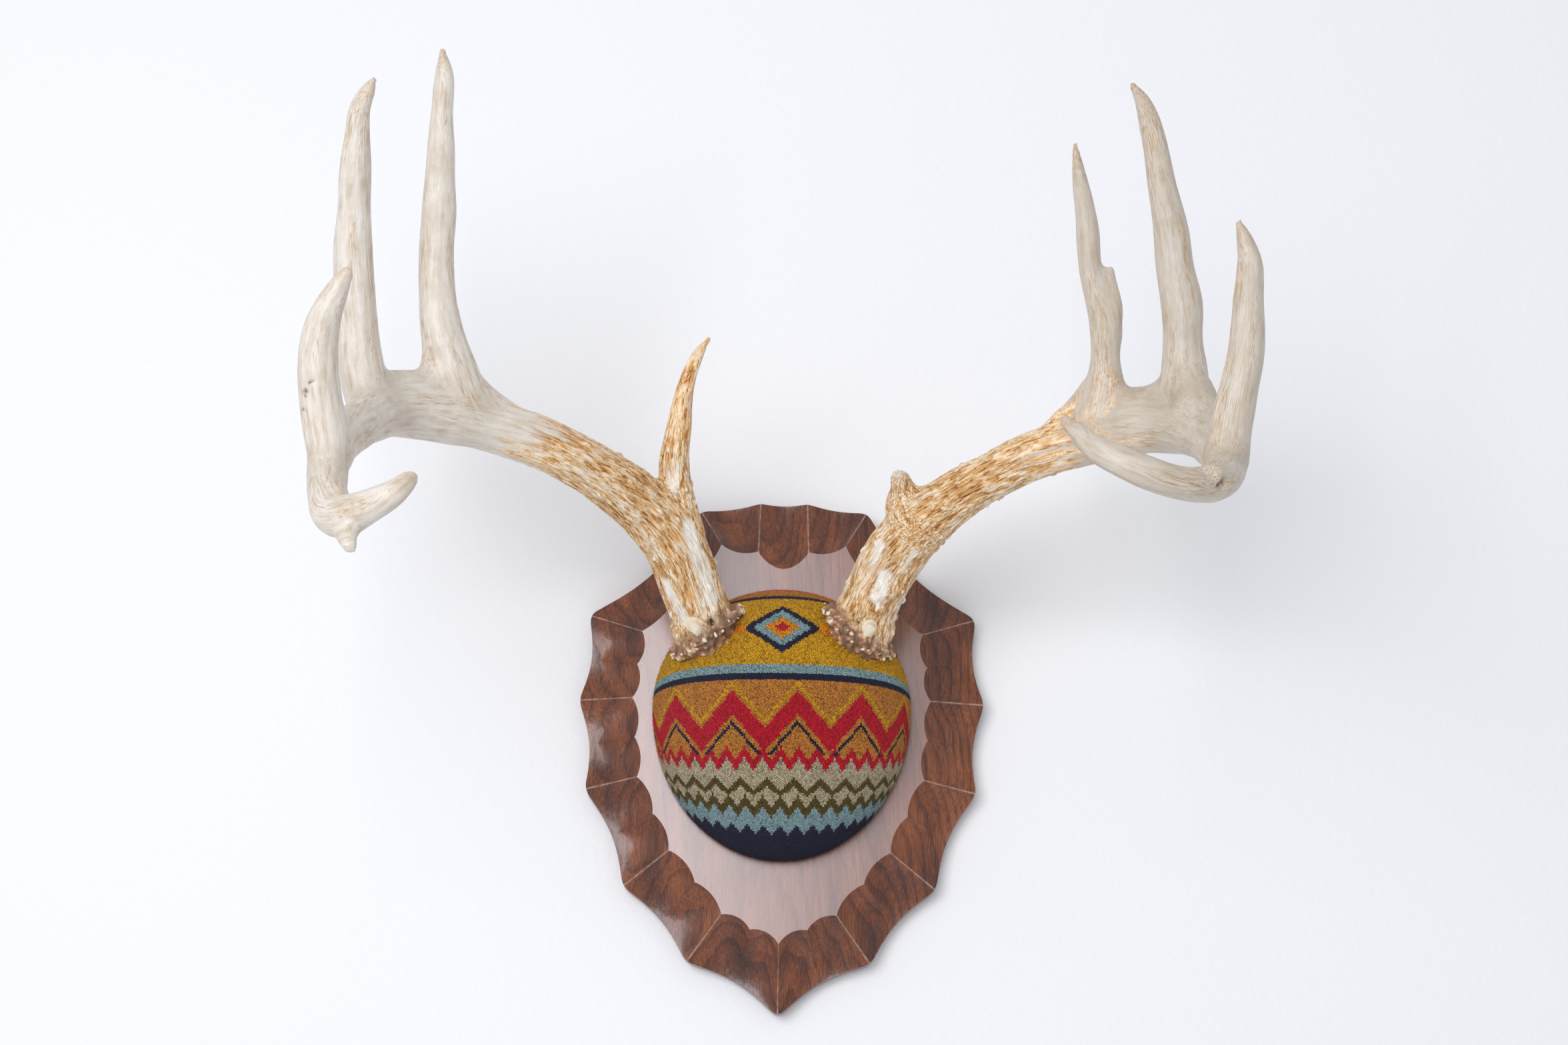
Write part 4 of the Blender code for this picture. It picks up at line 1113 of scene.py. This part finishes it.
def makeShield():
    columns, ridgeLines = carveShield()
    sizes = shieldSizes
    bm = bmesh.new()
    lineLayer = bm.verts.layers.float.new("paleWearAndHighlightLine")
    rings = []
    centre = Vector((0.0, 15.0))
    chamfer = sizes["chamfer"]
    (lowEase, highEase), (lowWearAndHighlight, highWearAndHighlight) = sizes["rimEase"], sizes["rimWearAndHighlight"]
    for column, ridge in zip(columns, ridgeLines):
        x, rim, z = column[0]
        inward = (centre - Vector((x, z))).normalized()
        # from the back: an eased edge, the rim's own two corners, then the carved cut; each
        # with how pale it is painted, for worn wood and a painted highlight
        profile = [(x + inward.x * chamfer, 0.0, z + inward.y * chamfer, 0.0),
                   (x, chamfer, z, 0.0), (x, rim - chamfer * 1.3, z, 0.0),
                   (x + inward.x * lowEase, rim - chamfer * 0.45, z + inward.y * lowEase, lowWearAndHighlight),
                   (x + inward.x * highEase, rim, z + inward.y * highEase, highWearAndHighlight)]
        profile += [(*spot, sizes["ridgeWearAndHighlight"] * ridge) for spot in column[1:]]
        profile[-1] = (*profile[-1][:3], sizes["fieldEdgeWearAndHighlight"])
        ring = []
        for x, reach, z, line in profile:
            vert = bm.verts.new(place(x, reach, z))
            vert[lineLayer] = line
            ring.append(vert)
        rings.append(ring)
    for here, after in zip(rings, rings[1:] + rings[:1]):
        for row in range(len(here) - 1):
            bm.faces.new((here[row], here[row + 1], after[row + 1], after[row])).smooth = True
    # the flat back is lacquered as the border is, and the field is oiled
    for row, finish in ((0, 0), (-1, 1)):
        edge = [ring[row] for ring in rings]
        flat = [Vector((vert.co.x, vert.co.z)) * 1000 for vert in edge]
        cut = geometry.delaunay_2d_cdt(flat, [], [list(range(len(flat)))], 1, 1e-6)
        for corners in cut[2]:
            face = bm.faces.new([edge[cut[3][corner][0]] for corner in corners])
            face.material_index = finish
    bmesh.ops.recalc_face_normals(bm, faces=bm.faces)
    mesh = bpy.data.meshes.new("carvedShield")
    bm.to_mesh(mesh)
    bm.free()
    mesh.set_sharp_from_angle(angle=math.radians(30))
    for face in mesh.polygons:
        if abs(face.normal.y) > shieldSizes["flat"]:
            face.use_smooth = False
    for name, look in walnutFinishes.items():
        mesh.materials.append(walnutMaterial(name, look))
    return addPiece("carvedShield", mesh)


shield = makeShield()
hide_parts("shield")
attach(shield, "root")
print("shield carved")


# Cloth-covered form
formSizes = {
    "centreRise": 23.0,
    "halfWidth": 73.0,
    "halfUp": 67.5,
    "halfDown": 86.0,
    "proud": 62.0,
    "shoulder": 2.45,
    "columns": 420,
    "rows": 150,
    "crowding": 0.8,           # below 1 sets the rows closer together at the edge
    "rollUnder": 4.6,          # the cloth's edge turns under before it meets the board
    "rollSteps": 8,
    "clearance": 0.3,
    "puckers": 15,
    "puckerHeight": 0.75,
    "puckersFrom": 21.0,       # from the burr's axis, and how soon they die out beyond it
    "puckersFade": 5.0,
    "drawnIn": 0.5,
    "feltHeight": 0.16,        # the unevenness of felted wool, and its pattern to the metre
    "feltScale": 420,
    "bareEdge": 4.0,           # no nap this near the board
}

clothPattern = {
    "yarn": 1.25,              # millimetres, the width of one stitch in the design
    "mustard": "#ecae12",
    "ochre": "#d98b38",
    "red": "#d8142f",
    "navy": "#1b2140",
    "greyBlue": "#98b8bb",
    "orange": "#ff9d0a",
    "cream": "#cdbd9b",
    "olive": "#63521f",
    "gap": "#241c18",          # the shade between stitches
    "lint": "#cbbfa6",
    # bands from the lower edge up: where each starts, as a share of "height", and its colour
    "height": (-100.0, 100.0),
    "bands": [(0.0, "navy"), (0.09, "greyBlue"), (0.155, "olive"), (0.19, "cream"),
              (0.295, "red"), (0.325, "ochre"), (0.525, "navy"), (0.545, "greyBlue"),
              (0.57, "mustard"), (0.80, "navy"), (0.82, "ochre"), (0.88, "red")],
    # the lower bands have sawn edges: half a tooth, its slope, its foot and how far up they go
    "saw": (5.0, 1.5, -3.5, -30.0),
    # diamonds: half their spacing, how far up, half their height, and their flatness
    "diamond": (25.0, 37.0, 16.0, 0.72),
    "diamondRings": [(0.0, "red"), (0.2, "orange"), (0.45, "greyBlue"), (0.75, "navy")],
    # the bars between diamonds: half width and half height, each after its middle
    "bars": (23.25, 2.75, 37.0, 4.0),
    # zigzags: colour, (half a wave, shift, slope, foot), the line's middle and half width off
    # that wave, and the middle and half height of the band it keeps to
    "zigzags": [("red", (18.0, 9.0, 1.15, -27.5), (0.0, 6.5), (-15.75, 20.25)),
                ("mustard", (18.0, 9.0, 1.15, -27.5), (10.4, 1.4), (-15.75, 20.25)),
                ("navy", (18.0, 9.0, 1.15, -27.5), (-11.25, 1.25), (-15.75, 20.25)),
                ("olive", (7.5, 0.0, 0.9, -57.5), (0.0, 2.2), (-53.0, 9.0))],
    "slant": 0.62,             # radians by which the rows of stitches lean
    "stitch": (0.92, 0.98, 1.0),       # stitches to the millimetre, across and up
}

napSizes = {"Fibres Per Square Metre": 420000.0, "Fibre Length": 0.0017, "Fibre Width": 0.00006}


def clothMaterial():
    # Milled wool blanket cloth, woven and then brushed: a dry, hairy face with no gloss, bands
    # and figures stepped stitch by stitch, painted shade in the gaps between the stitches, and
    # dark specks
    plan = clothPattern
    finish, tree, shader = newFinish("brushedWoolCloth")
    cloth = addNode(tree, "ShaderNodeAttribute", attribute_name="clothPlace")
    hair = addNode(tree, "ShaderNodeTexNoise", {"Vector": cloth.outputs["Vector"], "Scale": 0.9,
                                                "Detail": 3.0, "Roughness": 0.7})
    strayed = addNode(tree, "ShaderNodeVectorMath",
                      {0: hair.outputs["Color"], 1: (1.5, 1.5, 0.0), 2: cloth.outputs["Vector"]},
                      operation="MULTIPLY_ADD")
    parts = addNode(tree, "ShaderNodeSeparateXYZ", {0: strayed})

    # the design is stepped to whole stitches
    across = addNode(tree, "ShaderNodeMath",
                     {0: parts.outputs["X"], 1: plan["yarn"]}, operation="SNAP")
    up = addNode(tree, "ShaderNodeMath",
                 {0: parts.outputs["Y"], 1: plan["yarn"]}, operation="SNAP")
    halfTooth, toothSlope, toothFoot, sawnUpTo = plan["saw"]
    teeth = addNode(tree, "ShaderNodeMath", {0: across, 1: halfTooth}, operation="PINGPONG")
    sawn = addNode(tree, "ShaderNodeMath",
                   {0: teeth, 1: toothSlope, 2: toothFoot}, operation="MULTIPLY_ADD")
    lower = addNode(tree, "ShaderNodeMath", {0: up, 1: sawnUpTo}, operation="LESS_THAN")
    shifted = addNode(tree, "ShaderNodeMath", {0: sawn, 1: lower, 2: up}, operation="MULTIPLY_ADD")
    low, high = plan["height"]
    banded = addNode(tree, "ShaderNodeMapRange", {0: shifted, 1: low, 2: high})
    design = addNode(tree, "ShaderNodeValToRGB",
                     {0: banded}, stops=[(begin, plan[colour]) for begin, colour in plan["bands"]])
    design.color_ramp.interpolation = "CONSTANT"

    # diamonds along the mustard band, with bars between them
    halfSpacing, rise, half, flatness = plan["diamond"]
    aside = addNode(tree, "ShaderNodeMath", {0: across, 1: halfSpacing}, operation="PINGPONG")
    fromRow = addNode(tree, "ShaderNodeMath", {0: up, 1: rise}, operation="SUBTRACT")
    offRow = addNode(tree, "ShaderNodeMath", {0: fromRow}, operation="ABSOLUTE")
    outward = addNode(tree, "ShaderNodeMath",
                      {0: aside, 1: flatness, 2: offRow}, operation="MULTIPLY_ADD")
    share = addNode(tree, "ShaderNodeMath", {0: outward, 1: half}, operation="DIVIDE")
    rings = addNode(tree, "ShaderNodeValToRGB", {0: share},
                    stops=[(begin, plan[colour]) for begin, colour in plan["diamondRings"]])
    rings.color_ramp.interpolation = "CONSTANT"
    inside = addNode(tree, "ShaderNodeMath", {0: outward, 1: half}, operation="LESS_THAN")
    design = addNode(tree, "ShaderNodeMix", {0: inside, 6: design, 7: rings}, data_type="RGBA")
    middle, halfWide, row, halfHigh = plan["bars"]
    wide = addNode(tree, "ShaderNodeMath", {0: aside, 1: middle, 2: halfWide}, operation="COMPARE")
    tall = addNode(tree, "ShaderNodeMath", {0: up, 1: row, 2: halfHigh}, operation="COMPARE")
    bar = addNode(tree, "ShaderNodeMath", {0: wide, 1: tall}, operation="MULTIPLY")
    design = addNode(tree, "ShaderNodeMix",
                     {0: bar, 6: design, 7: linear(plan["orange"])}, data_type="RGBA")

    for colour, (halfWave, shift, slope, foot), (off, width), (band, reach) in plan["zigzags"]:
        moved = addNode(tree, "ShaderNodeMath", {0: across, 1: shift})
        swing = addNode(tree, "ShaderNodeMath", {0: moved, 1: halfWave}, operation="PINGPONG")
        wave = addNode(tree, "ShaderNodeMath",
                       {0: swing, 1: slope, 2: foot}, operation="MULTIPLY_ADD")
        apart = addNode(tree, "ShaderNodeMath", {0: up, 1: wave}, operation="SUBTRACT")
        onLine = addNode(tree, "ShaderNodeMath", {0: apart, 1: off, 2: width}, operation="COMPARE")
        inBand = addNode(tree, "ShaderNodeMath", {0: up, 1: band, 2: reach}, operation="COMPARE")
        shown = addNode(tree, "ShaderNodeMath", {0: onLine, 1: inBand}, operation="MULTIPLY")
        design = addNode(tree, "ShaderNodeMix",
                         {0: shown, 6: design, 7: linear(plan[colour])}, data_type="RGBA")

    # stitches in slanting rows: each a soft mound, with painted shade in the gap round it
    slant = addNode(tree, "ShaderNodeMapping", {"Vector": cloth.outputs["Vector"],
                                                "Rotation": (0.0, 0.0, plan["slant"]),
                                                "Scale": plan["stitch"]})
    stitches = addNode(tree, "ShaderNodeTexVoronoi",
                       {"Vector": slant, "Scale": 1.0, "Randomness": 0.36},
                       voronoi_dimensions="2D")
    gaps = addNode(tree, "ShaderNodeMapRange",
                   {0: stitches.outputs["Distance"], 1: 0.26, 2: 0.64},
                   interpolation_type="SMOOTHSTEP")
    chance = addNode(tree, "ShaderNodeSeparateColor", {0: stitches.outputs["Color"]})
    speck = addNode(tree, "ShaderNodeMapRange", {0: chance.outputs["Red"], 1: 0.72, 2: 1.0})
    speckled = addNode(tree, "ShaderNodeMath", {0: speck, 1: 0.42}, operation="MULTIPLY")
    # painted shade in the gaps between stitches, together with the dark specks
    dark = addNode(tree, "ShaderNodeMath",
                   {0: gaps, 1: 0.50, 2: speckled}, operation="MULTIPLY_ADD")
    level = addNode(tree, "ShaderNodeMapRange", {0: chance.outputs["Green"], 3: 0.78, 4: 1.28})
    varied = addNode(tree, "ShaderNodeVectorMath", {0: design, "Scale": level}, operation="SCALE")
    shaded = addNode(tree, "ShaderNodeMix",
                     {0: dark, 6: varied, 7: linear(plan["gap"])}, data_type="RGBA")
    lint = addNode(tree, "ShaderNodeMapRange", {0: hair, 1: 0.5, 2: 0.8, 3: 0.0, 4: 0.08})
    fuzzy = addNode(tree, "ShaderNodeMix",
                    {0: lint, 6: shaded, 7: linear(plan["lint"])}, data_type="RGBA")
    tree.links.new(fuzzy.outputs[2], shader.inputs["Base Color"])
    shader.inputs["Roughness"].default_value = 0.95
    shader.inputs["Specular IOR Level"].default_value = 0.08
    shader.inputs["Sheen Weight"].default_value = 0.07
    shader.inputs["Sheen Roughness"].default_value = 0.45
    sunk = addNode(tree, "ShaderNodeMath", {0: gaps, 1: -1.0}, operation="MULTIPLY")
    mound = addNode(tree, "ShaderNodeMath", {0: hair, 1: 1.1, 2: sunk}, operation="MULTIPLY_ADD")
    bump = addNode(tree, "ShaderNodeBump", {"Height": mound, "Strength": 1.0, "Distance": 0.0009})
    tree.links.new(bump.outputs[0], shader.inputs["Normal"])
    return finish


def makeForm():
    sizes = formSizes
    base = shieldSizes["thickness"] + sizes["clearance"]
    columns, rows = sizes["columns"], sizes["rows"]
    power = 2 / sizes["shoulder"]
    # one meridian from the crown to the edge: share of the half width, and how proud
    profile = []
    for row in range(rows + 1):
        lean = math.pi / 2 * (1 - (row / rows) ** sizes["crowding"])
        profile.append((math.cos(lean) ** power, math.sin(lean) ** power * sizes["proud"]))
    profile = [(share, proud) for share, proud in profile if proud > sizes["rollUnder"]]
    roll = sizes["rollUnder"]
    lastShare = profile[-1][0]
    for step in range(1, sizes["rollSteps"] + 1):
        angle = math.pi / 2 * step / sizes["rollSteps"]
        inset = roll * (1 - math.cos(angle)) / sizes["halfWidth"]
        profile.append((lastShare - inset, roll * (1 - math.sin(angle))))
    arcs = [0.0]
    for (share, proud), (nextShare, nextProud) in zip(profile, profile[1:]):
        arcs.append(arcs[-1] + math.hypot((nextShare - share) * sizes["halfWidth"],
                                          nextProud - proud))
    bm = bmesh.new()
    rings, cloth = [], []
    for (share, proud), arc in zip(profile[1:], arcs[1:]):
        ring = []
        for column in range(columns):
            angle = 2 * math.pi * column / columns
            half = sizes["halfUp"] if math.sin(angle) > 0 else sizes["halfDown"]
            span = sizes["halfWidth"] * share * math.cos(angle)
            rise = sizes["centreRise"] + half * share * math.sin(angle)
            ring.append(bm.verts.new(place(span, base + proud, rise)))
            stretch = half / sizes["halfWidth"]
            cloth.append((arc * math.cos(angle), arc * stretch * math.sin(angle), 0.0))
        rings.append(ring)
    crown = bm.verts.new(place(0, base + sizes["proud"], sizes["centreRise"]))
    cloth.append((0.0, 0.0, 0.0))
    for inner, outer in zip(rings, rings[1:]):
        for column in range(columns):
            after = (column + 1) % columns
            bm.faces.new((inner[column], inner[after], outer[after], outer[column]))
    for column in range(columns):
        bm.faces.new((rings[0][column], crown, rings[0][(column + 1) % columns]))
    under = bm.faces.new(rings[-1])
    bmesh.ops.triangulate(bm, faces=[under])
    bmesh.ops.recalc_face_normals(bm, faces=bm.faces)
    mesh = bpy.data.meshes.new("woolForm")
    bm.to_mesh(mesh)
    bm.free()
    storeValues(mesh, "clothPlace", np.array(cloth))

    # the cloth rises in small puckers round each burr and is drawn in under it
    points, normals = pointsOf(mesh), normalsOf(mesh)
    push = np.zeros(len(points))
    for plan in (leftAntler, rightAntler):
        centre = np.array(place(*plan["burr"]["centre"]))
        axis = np.array(place(*plan["burr"]["direction"]).normalized())
        offset = (points - centre) / mm
        height = offset @ axis
        flat = offset - height[:, None] * axis
        apart = np.linalg.norm(flat, axis=1)
        around = np.arctan2(flat[:, 2], flat[:, 0])
        folds = np.cos(sizes["puckers"] * around + 1.3 * np.sin(3 * around))
        nearBurr = np.exp(-np.maximum(apart - sizes["puckersFrom"], 0)
                          / sizes["puckersFade"]) * (np.abs(height) < 30)
        push += nearBurr * (folds * sizes["puckerHeight"] - sizes["drawnIn"])
    points += normals * (push * mm)[:, None]
    felt = np.array([noise.noise(Vector(point) * sizes["feltScale"]) for point in points])
    offBoard = points[:, 1] < -(base + 1) * mm
    points += normals * (felt * sizes["feltHeight"] * mm * offBoard)[:, None]
    setPoints(mesh, points)
    mesh.shade_smooth()
    mesh.materials.append(clothFinish)
    return addPiece("woolForm", mesh)


def napTree():
    # brushed-up hairs: thin slivers that lean every way out of the cloth
    tree, given = geometryTree("woolNap", {**napSizes, "Seed": 4, "Finish": clothFinish})
    facing = addNode(tree, "GeometryNodeInputPosition")
    reach = addNode(tree, "ShaderNodeSeparateXYZ", {0: facing})
    nearest = -(shieldSizes["thickness"] + formSizes["bareEdge"]) * mm
    clear = addNode(tree, "FunctionNodeCompare",
                    {0: reach.outputs["Y"], 1: nearest}, data_type="FLOAT", operation="LESS_THAN")
    strewn = addNode(tree, "GeometryNodeDistributePointsOnFaces",
                     {"Mesh": given.outputs["Geometry"], "Selection": clear,
                      "Density": given.outputs["Fibres Per Square Metre"],
                      "Seed": given.outputs["Seed"]})
    hair = addNode(tree, "GeometryNodeMeshCone",
                   {"Vertices": 3, "Side Segments": 2, "Radius Top": 0.0,
                    "Radius Bottom": given.outputs["Fibre Width"],
                    "Depth": given.outputs["Fibre Length"]}, fill_type="NONE")
    lean = addNode(tree, "FunctionNodeRandomValue",
                   {0: (0.5, 0.0, 0.0), 1: (1.35, 0.0, 6.28), "Seed": given.outputs["Seed"]},
                   data_type="FLOAT_VECTOR")
    spin = addNode(tree, "FunctionNodeRandomValue",
                   {2: 0.0, 3: 6.28, "Seed": given.outputs["Seed"]}, data_type="FLOAT")
    about = addNode(tree, "ShaderNodeCombineXYZ", {2: spin})
    turned = addNode(tree, "FunctionNodeRotateRotation",
                     {0: strewn.outputs["Rotation"], 1: about}, rotation_space="LOCAL")
    tilted = addNode(tree, "FunctionNodeRotateRotation",
                     {0: turned, 1: lean}, rotation_space="LOCAL")
    sizes = addNode(tree, "FunctionNodeRandomValue",
                    {2: 0.5, 3: 1.25, "Seed": given.outputs["Seed"]}, data_type="FLOAT")
    strung = addNode(tree, "GeometryNodeInstanceOnPoints",
                     {"Points": strewn.outputs["Points"], "Instance": hair,
                      "Rotation": tilted, "Scale": sizes})
    real = addNode(tree, "GeometryNodeRealizeInstances", {0: strung})
    coated = addNode(tree, "GeometryNodeSetMaterial",
                     {"Geometry": real, "Material": given.outputs["Finish"]})
    addNode(tree, "NodeGroupOutput", {0: coated})
    return tree


clothFinish = clothMaterial()
form = makeForm()
nap = addPiece("woolNap", form.data.copy())
applyTree(nap, napTree(), {**napSizes, "Finish": clothFinish})
for piece in (form, nap):
    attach(piece, "root")
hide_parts("skull_form")
print("form covered,", len(nap.data.vertices), "points of nap")


# Wall, floor and light
studio = {
    "wallWidth": 6.0,
    "floorLevel": -1.35,
    "holeInset": 1.6,          # millimetres by which the board laps over the hole in the wall
    "wallTop": 2.2,
    "windowPlace": (-0.60, -2.0, 0.26),
    "windowSize": (1.35, 1.00),
    "windowPower": 24.8,
    "windowColour": "#fbfbff",
    "windowAim": (0.6, 0.0, 0.1),
    "skyStrength": 0.64,
    "skyColour": "#f5f6f9",
    "paint": "#f0f1f3",
    "wallSetBack": 0.0004,     # metres between the wall's face and the board's back
}


def paintMaterial():
    # Rolled wall paint: matt, off white, with the shallow orange-peel of a roller
    finish, tree, shader = newFinish("rolledWallPaint")
    where = addNode(tree, "ShaderNodeTexCoord")
    stipple = addNode(tree, "ShaderNodeTexNoise",
                      {"Vector": where.outputs["Object"], "Scale": 260.0, "Detail": 3.0})
    bump = addNode(tree, "ShaderNodeBump",
                   {"Height": stipple, "Strength": 0.5, "Distance": 0.0006})
    shader.inputs["Base Color"].default_value = linear(studio["paint"])
    shader.inputs["Roughness"].default_value = 0.6
    tree.links.new(bump.outputs[0], shader.inputs["Normal"])
    # seen from behind, the wall lets the back of the board show
    behind = addNode(tree, "ShaderNodeNewGeometry")
    clear = addNode(tree, "ShaderNodeBsdfTransparent")
    oneWay = addNode(tree, "ShaderNodeMixShader",
                     {0: behind.outputs["Backfacing"], 1: shader, 2: clear})
    output = next(node for node in tree.nodes if node.type == "OUTPUT_MATERIAL")
    tree.links.new(oneWay.outputs[0], output.inputs[0])
    return finish


def makeRoom():
    # the wall has a hole behind the board, so that light reaches the board's back
    half, top, floor = studio["wallWidth"] / 2, studio["wallTop"], studio["floorLevel"]
    back = studio["wallSetBack"]
    outline = []
    for column in carveShield()[0][::2]:
        edge = Vector((column[0][0], column[0][2]))
        outline.append(edge * (1 - studio["holeInset"] / edge.length) * mm)
    bm = bmesh.new()
    hole = [bm.verts.new((x, back, z)) for x, z in outline]
    frameVerts = []
    for x, z in outline:
        spread = max(abs(x) / half, z / top, z / floor)
        frameVerts.append(bm.verts.new((x / spread, back, z / spread)))
    for index in range(len(hole)):
        after = (index + 1) % len(hole)
        bm.faces.new((hole[index], hole[after], frameVerts[after], frameVerts[index]))
    bmesh.ops.recalc_face_normals(bm, faces=bm.faces)
    if bm.faces[:][0].normal.y > 0:
        bmesh.ops.reverse_faces(bm, faces=bm.faces)
    mesh = bpy.data.meshes.new("wall")
    bm.to_mesh(mesh)
    bm.free()
    paint = paintMaterial()
    mesh.materials.append(paint)
    wall = addPiece("wall", mesh)
    floorMesh = bpy.data.meshes.new("floor")
    corners = [(-half, -half * 2, floor), (half, -half * 2, floor), (half, half, floor),
               (-half, half, floor)]
    floorMesh.from_pydata(corners, [], [(0, 1, 2, 3)])
    floorMesh.materials.append(paint)
    ground = addPiece("floor", floorMesh)


def addLamp(name, spot, size, power, colour, target):
    lamp = bpy.data.lights.new(name, "AREA")
    lamp.shape = "RECTANGLE"
    lamp.size, lamp.size_y = size
    lamp.energy = power
    lamp.color = linear(colour)[:3]
    piece = addPiece(name, lamp)
    aim = (Vector(target) - Vector(spot)).to_track_quat("-Z", "Y")
    piece.matrix_world = Matrix.Translation(spot) @ aim.to_matrix().to_4x4()
    piece.visible_camera = False


def lightRoom():
    addLamp("window", studio["windowPlace"], studio["windowSize"], studio["windowPower"],
            studio["windowColour"], studio["windowAim"])
    world = bpy.data.worlds.new("sky")
    world.use_nodes = True
    backdrop = world.node_tree.nodes["Background"]
    backdrop.inputs[0].default_value = linear(studio["skyColour"])
    backdrop.inputs[1].default_value = studio["skyStrength"]
    scene.world = world
    scene.view_settings.view_transform = "Standard"


makeRoom()
lightRoom()
print("room lit")
